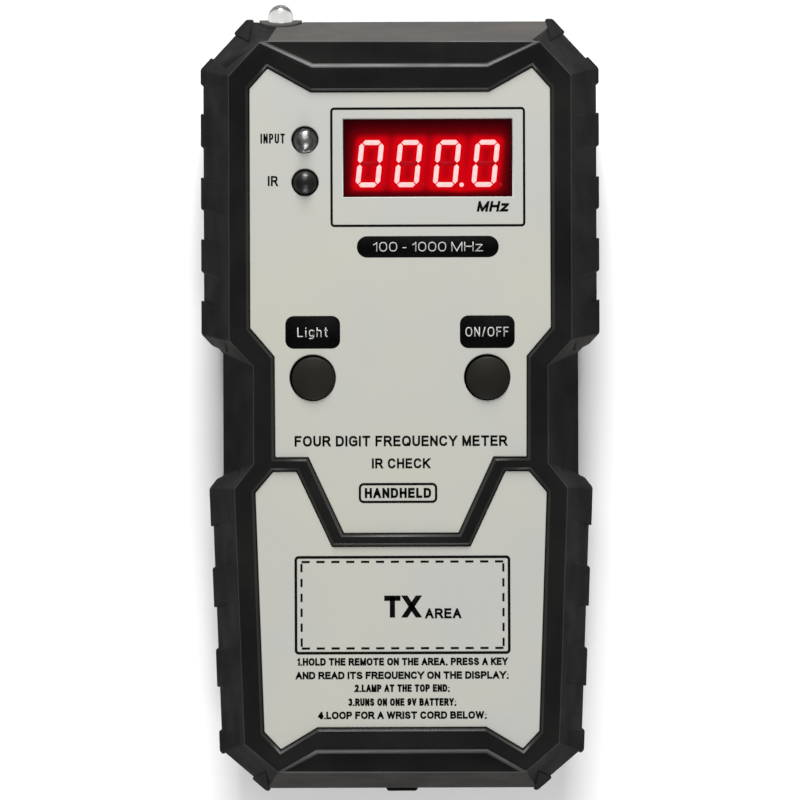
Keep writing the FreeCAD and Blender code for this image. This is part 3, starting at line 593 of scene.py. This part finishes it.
def dash_tree():
    """Flat dashes along every edge of a wire frame, evenly spaced on each side."""
    tree, start, realize = repeat_tree("dashed line", [
        ("Pitch", "NodeSocketFloat"), ("Dash", "NodeSocketVector"), ("Material", "NodeSocketMaterial")])
    link = tree.links.new
    split = tree.nodes.new("GeometryNodeSplitEdges")
    path = tree.nodes.new("GeometryNodeMeshToCurve")
    points = tree.nodes.new("GeometryNodeCurveToPoints")
    points.mode = "LENGTH"
    dash = tree.nodes.new("GeometryNodeMeshCube")
    place = tree.nodes.new("GeometryNodeInstanceOnPoints")
    link(start.outputs["Geometry"], split.inputs["Mesh"])
    link(split.outputs["Mesh"], path.inputs["Mesh"])
    link(path.outputs["Curve"], points.inputs["Curve"])
    link(start.outputs["Pitch"], points.inputs["Length"])
    link(start.outputs["Dash"], dash.inputs["Size"])
    link(points.outputs["Points"], place.inputs["Points"])
    turn = tree.nodes.new("FunctionNodeAlignRotationToVector")
    turn.axis = "X"
    link(points.outputs["Tangent"], turn.inputs["Vector"])
    link(dash.outputs["Mesh"], place.inputs["Instance"])
    link(turn.outputs["Rotation"], place.inputs["Rotation"])
    link(place.outputs["Instances"], realize.inputs["Geometry"])
    return tree


def grown(piece, tree, settings):
    """The piece with a geometry tree run on it and turned into a plain mesh."""
    modifier = piece.modifiers.new(tree.name, "NODES")
    modifier.node_group = tree
    for label, value in settings.items():
        modifier[socket_id(tree, label)] = value
    return baked(piece)


def wire_piece(name, points, edges):
    mesh = bpy.data.meshes.new(name)
    mesh.from_pydata(points, edges, [])
    piece = bpy.data.objects.new(name, mesh)
    bpy.context.scene.collection.objects.link(piece)
    return piece


DASHES_W, DASHES_H, DASH_PITCH, DASH, DASH_LINE = (v * MM for v in (39.2, 16.8, 2.89, 1.6, 0.42))
sides = []
for sign in (-1, 1):
    far, inset = sign * DASHES_H / 2, 6.5 * DASH_PITCH + 1e-6
    sides += [(ZONE_X - inset, ZONE_Y + far, z + INK_T / 2), (ZONE_X + inset, ZONE_Y + far, z + INK_T / 2)]
    far, inset = sign * DASHES_W / 2, 2.5 * DASH_PITCH + 1e-6
    sides += [(ZONE_X + far, ZONE_Y - inset, z + INK_T / 2), (ZONE_X + far, ZONE_Y + inset, z + INK_T / 2)]
dashes = wire_piece("zone_dashes", sides, [(0, 1), (2, 3), (4, 5), (6, 7)])
grown(dashes, dash_tree(), {"Pitch": DASH_PITCH, "Dash": (DASH, DASH_LINE, INK_T),
                            "Material": black})
settle(dashes, "case", "face_sheet")

# ---------------------------------------------------------------- display
# A four-digit seven-segment module behind a red filter window. The module's face is black
# epoxy with light bars let into it; four noughts and one point are lit, the middle bars are not.
DIGIT_PITCH = 7.52 * MM
DIGIT_W, DIGIT_H = 4.75 * MM, 9.14 * MM
DIGIT_LEAN = math.tan(math.radians(6))
BAR_W = 0.92 * MM
BAR_GAP = 0.16 * MM
POINT_R = 0.42 * MM
POINT_SHIFT = 0.375
LIT_PLACES = 4
POINT_AFTER = 2
BAR_T = 0.05 * MM
GLOW_CELL = 0.3 * MM
NEAR_REACH, NEAR_FALL, NEAR_SHARE = 1.15, 1.3, 0.5
WIDE_REACH, WIDE_SHARE, WIDE_FULL = 2.7, 0.62, 4.0
# Painted shade at the window's edges: the share of the glow kept at an edge, and its rise per millimetre
# inwards.
PAINTED_EDGE_SHADE_KEEP, PAINTED_EDGE_SHADE_RISE = 0.35, 0.5
LIT_COLOUR = (1.0, 0.47, 0.47, 1)
LIT_STRENGTH = 1.4
GLOW_COLOUR = (0.70, 0.0, 0.004)
GLOW_STRENGTH = 1.0

module_low, module_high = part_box("display_module")
module_mid = (module_low + module_high) / 2
face_z = window_low.z + 0.01 * MM


def bar_lines():
    """Centre lines of a digit's seven bars as (x0, y0, x1, y1), the middle bar last."""
    w, h = DIGIT_W / 2 - BAR_W / 2, DIGIT_H / 2 - BAR_W / 2
    flat = [(-w, level, w, level) for level in (h, -h)]
    upright = [(side * w, lo, side * w, lo + h) for side in (-1, 1) for lo in (-h, 0.0)]
    return flat + upright + [(-w, 0.0, w, 0.0)]


def bar_outline(x0, y0, x1, y1):
    """A six-sided bar with pointed ends along a centre line."""
    length = math.hypot(x1 - x0, y1 - y0)
    ux, uy = (x1 - x0) / length, (y1 - y0) / length
    h = BAR_W / 2
    points = []
    for along, across in ((BAR_GAP, 0), (BAR_GAP + h, -h), (length - BAR_GAP - h, -h),
                          (length - BAR_GAP, 0), (length - BAR_GAP - h, h), (BAR_GAP + h, h)):
        points.append((x0 + ux * along - uy * across, y0 + uy * along + ux * across))
    return [(px + py * DIGIT_LEAN, py) for px, py in points]


def disc(r, steps=16):
    return [(r * math.cos(2 * math.pi * k / steps), r * math.sin(2 * math.pi * k / steps))
            for k in range(steps)]


lit, unlit = bmesh.new(), bmesh.new()
glowing = []
for place in range(LIT_PLACES):
    x = module_mid.x + (place - (LIT_PLACES - 1) / 2) * DIGIT_PITCH
    lines = bar_lines()
    for line in lines[:-1]:
        add_slab(lit, bar_outline(*line), x, module_mid.y, face_z, BAR_T)
        glowing.append([x + line[0] + line[1] * DIGIT_LEAN, module_mid.y + line[1],
                        x + line[2] + line[3] * DIGIT_LEAN, module_mid.y + line[3]])
    add_slab(unlit, bar_outline(*lines[-1]), x, module_mid.y, face_z, BAR_T)
    point_x, point_y = x + POINT_SHIFT * DIGIT_PITCH, module_mid.y - DIGIT_H / 2 + POINT_R
    add_slab(lit if place == POINT_AFTER else unlit, disc(POINT_R), point_x, point_y, face_z, BAR_T)
    if place == POINT_AFTER:
        glowing.append([point_x - POINT_R, point_y, point_x + POINT_R, point_y])


def lit_bars():
    """Light bars burnt out to a pinkish white, in two tones of noise."""
    material, tree, shader = new_material("lit bar")
    colour = ramp(tree, noise(tree, 1200.0), [(0.3, LIT_COLOUR), (0.7, (1.0, 0.58, 0.57, 1))])
    tree.links.new(colour, shader.inputs["Emission Color"])
    shader.inputs["Base Color"].default_value = (0.6, 0.05, 0.04, 1)
    shader.inputs["Specular IOR Level"].default_value = 0.0
    shader.inputs["Emission Strength"].default_value = LIT_STRENGTH
    return material


def two_tone(name, grain, dark, light, sockets):
    """A material in two tones of noise, with the shader's other sockets set as given."""
    material, tree, shader = new_material(name)
    colour = ramp(tree, noise(tree, grain), [(0.3, dark), (0.7, light)])
    tree.links.new(colour, shader.inputs["Base Color"])
    for socket, value in sockets.items():
        shader.inputs[socket].default_value = value
    return material


lit_piece = piece_from(lit, "lit_display_bars", lit_bars())
settle(lit_piece, "case", "display_light", "display_segments")
dark_bars = two_tone("unlit bar", 900.0, (0.05, 0.004, 0.006, 1), (0.07, 0.006, 0.008, 1), {
    "Emission Color": (0.42, 0.0, 0.003, 1), "Emission Strength": 1.0, "Specular IOR Level": 0.0})
unlit_piece = piece_from(unlit, "unlit_display_bars", dark_bars)
settle(unlit_piece, "case", "display_light")


def glow_sheet():
    """The diffuser film on the module: a grid that holds how much light spills to each place."""
    w, h = window_high.x - window_low.x, window_high.y - window_low.y
    nx, ny = round(w / GLOW_CELL), round(h / GLOW_CELL)
    xs = np.linspace(window_low.x, window_high.x, nx + 1)
    ys = np.linspace(window_low.y, window_high.y, ny + 1)
    gx, gy = np.meshgrid(xs, ys)
    light = np.zeros_like(gx)
    wide = np.zeros_like(gx)
    for x0, y0, x1, y1 in glowing:
        along = ((gx - x0) * (x1 - x0) + (gy - y0) * (y1 - y0)) / ((x1 - x0) ** 2 + (y1 - y0) ** 2)
        along = np.clip(along, 0, 1)
        far = np.hypot(gx - x0 - along * (x1 - x0), gy - y0 - along * (y1 - y0)) / MM
        light = np.maximum(light, np.exp(-(far / NEAR_REACH) ** NEAR_FALL))
        wide += np.exp(-(far / WIDE_REACH) ** 2)
    # The glow fades towards the window's edges: painted shade of the recess round the window.
    rim = np.minimum(np.minimum(gx - xs[0], xs[-1] - gx), np.minimum(gy - ys[0], ys[-1] - gy)) / MM
    glow = NEAR_SHARE * light + WIDE_SHARE * np.clip(wide / WIDE_FULL, 0, 1)
    glow = glow * np.clip(PAINTED_EDGE_SHADE_KEEP + PAINTED_EDGE_SHADE_RISE * rim, 0, 1)
    mesh = bpy.data.meshes.new("display_glow")
    verts = [(x, y, face_z + 0.02 * MM) for x, y in zip(gx.ravel(), gy.ravel())]
    faces = [(j * (nx + 1) + i, j * (nx + 1) + i + 1, (j + 1) * (nx + 1) + i + 1, (j + 1) * (nx + 1) + i)
             for j in range(ny) for i in range(nx)]
    mesh.from_pydata(verts, [], faces)
    mesh.attributes.new("glow", "FLOAT", "POINT").data.foreach_set("value", glow.ravel().astype(np.float32))
    return mesh


def glow_material():
    material, tree, shader = new_material("display diffuser")
    spill = add_node(tree, "ShaderNodeAttribute", attribute_name="glow")
    low, high = (0.014, 0.0, 0.001, 1), (*GLOW_COLOUR, 1)
    colour = ramp(tree, spill.outputs["Fac"], [(0.0, low), (0.3, (0.16, 0.0, 0.002, 1)), (0.62, high)])
    tree.links.new(colour, shader.inputs["Emission Color"])
    shader.inputs["Emission Strength"].default_value = GLOW_STRENGTH
    shader.inputs["Base Color"].default_value = (0.006, 0.001, 0.001, 1)
    shader.inputs["Roughness"].default_value = 0.6
    shader.inputs["Specular IOR Level"].default_value = 0.0
    return material


glow_mesh = glow_sheet()
glow_mesh.materials.append(glow_material())
glow = bpy.data.objects.new("display_diffuser", glow_mesh)
bpy.context.scene.collection.objects.link(glow)
settle(glow, "case", "display_body")


# The polished red window: a dark red sheet that lets the lit bars through
red_filter = two_tone("red filter", 120.0, (0.05, 0.0, 0.003, 1), (0.06, 0.001, 0.004, 1), {
    "Roughness": 0.08, "Alpha": 0.12, "Specular IOR Level": 0.02})
window_piece = softened("display_window", 0.1 * MM, red_filter)
settle(window_piece, "case", "window_filter", "display_window")

# ---------------------------------------------------------------- indicators and torch
# Two 5 mm lamps in the face and one at the top end. Each is cast resin round a metal lead frame
# with a reflector cup; the infrared receiver's resin is nearly black.
LED_R = 2.5 * MM
FLANGE_R = 2.9 * MM
LED_LENGTH = 8.6 * MM
AROUND = 48


def turned(name, profile, material, at, towards="Z", steps=AROUND):
    """A piece turned from a (radius, height) profile, standing at a place along Z or Y."""
    shape = bmesh.new()
    rings = []
    for r, h in profile:
        if r < 1e-7:
            rings.append([shape.verts.new((0, 0, h))])
            continue
        rings.append([shape.verts.new((r * math.cos(2 * math.pi * k / steps),
                                       r * math.sin(2 * math.pi * k / steps), h))
                      for k in range(steps)])
    for a, b in zip(rings, rings[1:]):
        for k in range(steps):
            n = (k + 1) % steps
            corners = [a[k % len(a)], a[n % len(a)], b[n % len(b)], b[k % len(b)]]
            unique = list(dict.fromkeys(corners))
            if len(unique) > 2:
                shape.faces.new(unique)
    bmesh.ops.recalc_face_normals(shape, faces=shape.faces)
    if towards == "Y":
        bmesh.ops.transform(shape, matrix=Matrix.Rotation(math.radians(-90), 4, "X"), verts=shape.verts)
    bmesh.ops.translate(shape, vec=at, verts=shape.verts)
    return piece_from(shape, name, material)


def arc(cx, cy, r, start, end, steps):
    """Points of an arc in a profile, angles in degrees."""
    return [(cx + r * math.cos(math.radians(start + (end - start) * k / steps)),
             cy + r * math.sin(math.radians(start + (end - start) * k / steps)))
            for k in range(steps + 1)]


def lamp_profile():
    small = 0.15 * MM
    barrel_top = LED_LENGTH - LED_R
    profile = [(0.0, 0.0), (FLANGE_R - small, 0.0)]
    profile += arc(FLANGE_R - small, small, small, -90, 0, 3)
    profile += arc(FLANGE_R - small, 1.0 * MM - small, small, 0, 90, 3)
    profile += [(LED_R, 1.02 * MM), (LED_R, barrel_top * 0.6)]
    dome = arc(0.0, barrel_top, LED_R, 0, 90, 16)
    return profile + dome[:-1] + [(0.0, LED_LENGTH)]


def tinned():
    material, tree, shader = new_material("tinned metal")
    colour = ramp(tree, noise(tree, 800.0), [(0.3, (0.5, 0.5, 0.49, 1)), (0.7, (0.68, 0.67, 0.65, 1))])
    tree.links.new(colour, shader.inputs["Base Color"])
    tree.links.new(spread(tree, noise(tree, 1500.0), 0.22, 0.4), shader.inputs["Roughness"])
    shader.inputs["Metallic"].default_value = 1.0
    return material


resin = two_tone("clear resin", 300.0, (0.60, 0.60, 0.59, 1), (0.78, 0.78, 0.77, 1), {
    "Transmission Weight": 1.0, "Roughness": 0.2, "IOR": 1.5, "Specular IOR Level": 0.2})
smoked = two_tone("dark resin", 300.0, (0.006, 0.0055, 0.0055, 1), (0.011, 0.010, 0.0095, 1), {
    "Roughness": 0.34, "Specular IOR Level": 0.3})
tin = tinned()


def node_base(node):
    """The middle of a node's lowest face."""
    low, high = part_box(node)
    return Vector(((low.x + high.x) / 2, (low.y + high.y) / 2, low.z))


def lead_frame(name, at, towards):
    """The reflector cup and its post inside a clear lamp."""
    cup = [(0.0, 1.2 * MM), (0.55 * MM, 1.2 * MM), (0.6 * MM, 3.2 * MM), (1.05 * MM, 4.0 * MM),
           (1.05 * MM, 4.9 * MM), (0.95 * MM, 4.9 * MM), (0.5 * MM, 4.35 * MM), (0.0, 4.35 * MM)]
    return turned(name, cup, tin, at, towards, 24)


input_at = node_base("input_led")
settle(turned("input_lamp", lamp_profile(), resin, input_at), "case", "clear_resin", "input_led")
settle(lead_frame("input_lamp_cup", input_at, "Z"), "case", "tinned_metal")
sensor = turned("infrared_receiver", lamp_profile(), smoked, node_base("ir_receiver"))
settle(sensor, "case", "dark_resin", "ir_receiver")

torch_low, torch_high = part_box("torch_led")
torch_at = Vector(((torch_low.x + torch_high.x) / 2, torch_low.y, (torch_low.z + torch_high.z) / 2))
settle(turned("torch_lamp", lamp_profile(), resin, torch_at, "Y"), "case", "clear_resin", "torch_led")
settle(lead_frame("torch_lamp_cup", torch_at, "Y"), "case", "tinned_metal")

# The collar takes the torch end's painted light.
settle(softened("torch_collar", 0.15 * MM, torch_end_light), "case", "switch_plastic", "torch_collar")

# ---------------------------------------------------------------- push buttons
# Two round caps in soft black plastic with a shallow crown and rounded rim. A flange keeps each
# cap under the deck, and it presses on the stem of its switch.
BUTTON_R = 4.2 * MM
BUTTON_FLANGE_R = 5.6 * MM
BUTTON_RIM = 0.6 * MM
BUTTON_CROWN = 0.6 * MM
button_black = moulded_plastic("button black", (0.0125, 0.012, 0.0095, 1), (0.019, 0.018, 0.014, 1),
                               (0.42, 0.52), 3600.0, 0.00003, 0.05)


def button_profile(height):
    """Flange, barrel, rounded rim and crown."""
    edge = height - BUTTON_CROWN
    profile = [(0.0, 0.0), (BUTTON_FLANGE_R, 0.0), (BUTTON_FLANGE_R, 1.1 * MM), (BUTTON_R, 1.12 * MM),
               (BUTTON_R, edge - BUTTON_RIM)]
    profile += arc(BUTTON_R - BUTTON_RIM, edge - BUTTON_RIM, BUTTON_RIM, 0, 75, 6)
    start_r, start_h = profile[-1]
    for k in range(1, 8):
        r = start_r * (1 - k / 8)
        profile.append((r, start_h + (height - start_h) * (1 - (r / start_r) ** 2)))
    return profile + [(0.0, height)]


for side in ("light", "power"):
    low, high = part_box(side + "_button")
    cap = turned(side + "_cap", button_profile(high.z - low.z), button_black, node_base(side + "_button"))
    settle(cap, side + "_key", "button_plastic", side + "_button")

# ---------------------------------------------------------------- circuit board and its parts
# A green fibreglass board screwed under the deck, with chips, switches and wire-ended parts
# soldered to it, a battery with its snap and leads below, and a foam pad that holds it still.
BATTERY_BAND = 13.0 * MM
INNER = {
    "board": ((0.012, 0.075, 0.022, 1), (0.018, 0.10, 0.030, 1), 0.35, 0.0, 260.0, ("circuit_board",)),
    "chip": ((0.012, 0.012, 0.013, 1), (0.022, 0.022, 0.023, 1), 0.55, 0.0, 900.0,
             ("microcontroller", "prescaler", "regulator")),
    "tinned_metal": ((0.50, 0.50, 0.49, 1), (0.68, 0.67, 0.65, 1), 0.3, 1.0, 900.0,
                     ("display_pins", "switch_legs", "indicator_legs", "torch_leads",
                      "microcontroller_legs", "prescaler_legs", "capacitor_legs", "crystal",
                      "battery_terminals")),
    "display_body": ((0.014, 0.014, 0.015, 1), (0.024, 0.024, 0.025, 1), 0.5, 0.0, 500.0,
                     ("display_module",)),
    "switch_plastic": ((0.018, 0.018, 0.018, 1), (0.03, 0.03, 0.03, 1), 0.45, 0.0, 700.0,
                       ("light_switch", "light_switch_stem", "power_switch", "power_switch_stem",
                        "battery_snap")),
    "capacitor_sleeve": ((0.015, 0.03, 0.10, 1), (0.02, 0.045, 0.14, 1), 0.3, 0.0, 600.0,
                         ("capacitors",)),
    "resistor_paint": ((0.42, 0.30, 0.17, 1), (0.52, 0.38, 0.22, 1), 0.45, 0.0, 1400.0, ("resistors",)),
    "copper": ((0.50, 0.20, 0.09, 1), (0.66, 0.30, 0.15, 1), 0.3, 1.0, 900.0, ("pickup_coil",)),
    "battery_jacket": ((0.016, 0.016, 0.017, 1), (0.03, 0.03, 0.032, 1), 0.3, 0.0, 220.0, ("battery",)),
    "lead_red": ((0.42, 0.012, 0.010, 1), (0.55, 0.02, 0.016, 1), 0.4, 0.0, 800.0, ("battery_lead_red",)),
    "lead_black": ((0.010, 0.010, 0.010, 1), (0.02, 0.02, 0.02, 1), 0.4, 0.0, 800.0,
                   ("battery_lead_black",)),
    "foam": ((0.045, 0.045, 0.047, 1), (0.09, 0.09, 0.092, 1), 0.95, 0.0, 2600.0, ("battery_pad",)),
    "screw_steel": ((0.32, 0.32, 0.33, 1), (0.5, 0.5, 0.5, 1), 0.32, 1.0, 700.0, ("board_screws",))}


def inner_finish(name, dark, light, rough, metallic, grain):
    """Two tones and a fine surface grain for a part inside the case."""
    material, tree, shader = new_material(name.replace("_", " "))
    pattern = noise(tree, grain)
    tree.links.new(ramp(tree, pattern, [(0.3, dark), (0.7, light)]), shader.inputs["Base Color"])
    tree.links.new(spread(tree, noise(tree, grain * 1.7), rough * 0.85, min(1.0, rough * 1.15)),
                   shader.inputs["Roughness"])
    shader.inputs["Metallic"].default_value = metallic
    bump(tree, shader, pattern, 0.2, 0.00002)
    return material


def banded(finish, start, full, dark, light):
    """A second tone along Y on a finish, as on a battery's jacket."""
    tree = finish.node_tree
    shader = tree.nodes["Principled BSDF"]
    first = shader.inputs["Base Color"].links[0].from_socket
    place = add_node(tree, "ShaderNodeSeparateXYZ")
    tree.links.new(add_node(tree, "ShaderNodeTexCoord").outputs["Object"], place.inputs["Vector"])
    share = add_node(tree, "ShaderNodeMapRange")
    share.inputs["From Min"].default_value = start
    share.inputs["From Max"].default_value = full
    tree.links.new(place.outputs["Y"], share.inputs["Value"])
    second = ramp(tree, noise(tree, 260.0), [(0.3, dark), (0.7, light)])
    mix = add_node(tree, "ShaderNodeMixRGB")
    tree.links.new(share.outputs["Result"], mix.inputs["Fac"])
    tree.links.new(first, mix.inputs["Color1"])
    tree.links.new(second, mix.inputs["Color2"])
    tree.links.new(mix.outputs["Color"], shader.inputs["Base Color"])


for name, (dark, light, rough, metallic, grain, members) in INNER.items():
    finish = inner_finish(name, dark, light, rough, metallic, grain)
    for node in members:
        mesh = nodes[node].data
        mesh.materials.clear()
        mesh.materials.append(finish)
    if name == "battery_jacket":
        band_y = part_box("battery")[1].y - BATTERY_BAND
        banded(finish, band_y, band_y + 0.1 * MM, (0.45, 0.45, 0.44, 1), (0.55, 0.55, 0.54, 1))

# ---------------------------------------------------------------- case screws
# Four self-tapping steel screws with cross recesses, driven from the back into the front
# shell's posts. Their heads sit in wells in the back shell.
HEAD_R, HEAD_H, SHANK_R, CROSS_L, CROSS_W, CROSS_D = (v * MM for v in (2.7, 1.7, 1.35, 3.0, 0.7, 1.1))


def islands(node):
    """The boxes of a node's separate solids, as (low, high) pairs."""
    shape = welded_copy(node)
    left, boxes = set(shape.verts), []
    while left:
        edge = [left.pop()]
        group = list(edge)
        while edge:
            grown_edge = [v for e in edge.pop().link_edges for v in e.verts if v in left]
            left.difference_update(grown_edge)
            edge += grown_edge
            group += grown_edge
        boxes.append(tuple(Vector([pick(v.co[k] for v in group) for k in range(3)]) for pick in (min, max)))
    return sorted(boxes, key=lambda box: tuple(box[0]))


def screw_tree():
    """A screw at every point: tapered head with a cross cut into it, and a shank above."""
    tree, start, realize = repeat_tree("case screws", [
        ("Head Radius", "NodeSocketFloat"), ("Head Height", "NodeSocketFloat"),
        ("Shank Radius", "NodeSocketFloat"), ("Shank Length", "NodeSocketFloat"),
        ("Cross Long", "NodeSocketVector"), ("Cross Wide", "NodeSocketVector"),
        ("Material", "NodeSocketMaterial")])
    link = tree.links.new
    head = tree.nodes.new("GeometryNodeMeshCone")
    head.inputs["Vertices"].default_value = 40
    link(start.outputs["Head Radius"], head.inputs["Radius Top"])
    narrow = tree.nodes.new("ShaderNodeMath")
    narrow.operation = "MULTIPLY"
    narrow.inputs[1].default_value = 0.78
    link(start.outputs["Head Radius"], narrow.inputs[0])
    link(narrow.outputs[0], head.inputs["Radius Bottom"])
    link(start.outputs["Head Height"], head.inputs["Depth"])
    cut = tree.nodes.new("GeometryNodeMeshBoolean")
    cut.operation = "DIFFERENCE"
    link(head.outputs["Mesh"], cut.inputs["Mesh 1"])
    for label in ("Cross Long", "Cross Wide"):
        slot = tree.nodes.new("GeometryNodeMeshCube")
        link(start.outputs[label], slot.inputs["Size"])
        link(slot.outputs["Mesh"], cut.inputs["Mesh 2"])
    shank = tree.nodes.new("GeometryNodeMeshCylinder")
    shank.inputs["Vertices"].default_value = 24
    link(start.outputs["Shank Radius"], shank.inputs["Radius"])
    link(start.outputs["Shank Length"], shank.inputs["Depth"])
    raised = tree.nodes.new("ShaderNodeCombineXYZ")
    half = tree.nodes.new("ShaderNodeMath")
    half.operation = "MULTIPLY_ADD"
    half.inputs[1].default_value = 0.5
    link(start.outputs["Shank Length"], half.inputs[0])
    link(start.outputs["Head Height"], half.inputs[2])
    link(half.outputs[0], raised.inputs["Z"])
    lifted = tree.nodes.new("GeometryNodeTransform")
    link(shank.outputs["Mesh"], lifted.inputs["Geometry"])
    link(raised.outputs["Vector"], lifted.inputs["Translation"])
    both = tree.nodes.new("GeometryNodeJoinGeometry")
    link(cut.outputs["Mesh"], both.inputs["Geometry"])
    link(lifted.outputs["Geometry"], both.inputs["Geometry"])
    points = tree.nodes.new("GeometryNodeMeshToPoints")
    place = tree.nodes.new("GeometryNodeInstanceOnPoints")
    link(start.outputs["Geometry"], points.inputs["Mesh"])
    link(points.outputs["Points"], place.inputs["Points"])
    link(both.outputs["Geometry"], place.inputs["Instance"])
    link(place.outputs["Instances"], realize.inputs["Geometry"])
    return tree


steel = inner_finish("screw steel, worn", (0.30, 0.30, 0.31, 1), (0.46, 0.46, 0.46, 1), 0.34, 1.0, 600.0)
screw_boxes = islands("case_screws")
low, high = screw_boxes[0]
seats = [((a.x + b.x) / 2, (a.y + b.y) / 2, a.z) for a, b in screw_boxes]
case_screws = wire_piece("case_screw_set", seats, [])
grown(case_screws, screw_tree(), {
    "Head Radius": HEAD_R, "Head Height": HEAD_H, "Shank Radius": SHANK_R,
    "Shank Length": high.z - low.z - HEAD_H, "Cross Long": (CROSS_L, CROSS_W, CROSS_D),
    "Cross Wide": (CROSS_W, CROSS_L, CROSS_D), "Material": steel})
settle(case_screws, "case", "screw_steel", "case_screws")

# ---------------------------------------------------------------- floor, light and camera
# A pale floor, soft light from above and from low down at both ends, and the camera straight
# above the face plates.
FLOOR_PALE = (0.93, 0.93, 0.93, 1)
CAMERA_TO_FACE = 433 * MM
FRAME_WIDTH = 155.34 * MM
SENSOR = 36.0
CAMERA_X = -0.15 * MM
CAMERA_TURN = math.radians(-0.2)
LIGHT_AIM = (0, 0, 0.02)
# Name, place and side in metres, and watts
LIGHTS = (("high torch end", (-0.1, 0.75, 0.95), 0.6, 5.0), ("high loop end", (0.1, -0.75, 0.95), 0.6, 4.5),
          ("low torch end", (0.0, 0.8, 0.3), 0.3, 12.0), ("low loop end", (0.0, -0.8, 0.25), 0.3, 4.0))
ROOM_LIGHT = 0.18

floor_shape = bmesh.new()
bmesh.ops.create_grid(floor_shape, x_segments=1, y_segments=1, size=2.0)
pale_floor = two_tone("pale floor", 3.0, FLOOR_PALE, (0.95, 0.95, 0.95, 1), {"Roughness": 0.7})
floor = piece_from(floor_shape, "floor", pale_floor)


def softbox(name, place, aim, side, energy):
    light = bpy.data.lights.new(name, "AREA")
    light.shape = "SQUARE"
    light.size = side
    light.energy = energy
    lamp = bpy.data.objects.new(name, light)
    lamp.location = place
    lamp.rotation_euler = (Vector(aim) - Vector(place)).to_track_quat("-Z", "Y").to_euler()
    bpy.context.scene.collection.objects.link(lamp)


for name, place, side, energy in LIGHTS:
    softbox(name, place, LIGHT_AIM, side, energy)

world = bpy.data.worlds.new("studio")
world.use_nodes = True
world.node_tree.nodes["Background"].inputs["Color"].default_value = (1, 1, 1, 1)
world.node_tree.nodes["Background"].inputs["Strength"].default_value = ROOM_LIGHT
bpy.context.scene.world = world
bpy.context.scene.view_settings.view_transform = "Standard"

camera_data = bpy.data.cameras.new("camera")
camera_data.sensor_width = SENSOR
camera_data.lens = SENSOR * CAMERA_TO_FACE / FRAME_WIDTH
camera_data.clip_start = 0.01
camera = bpy.data.objects.new("camera", camera_data)
camera.location = (CAMERA_X, 0.0, PLATE_TOP + CAMERA_TO_FACE)
camera.rotation_euler = (0, 0, CAMERA_TURN)
bpy.context.scene.collection.objects.link(camera)
bpy.context.scene.camera = camera
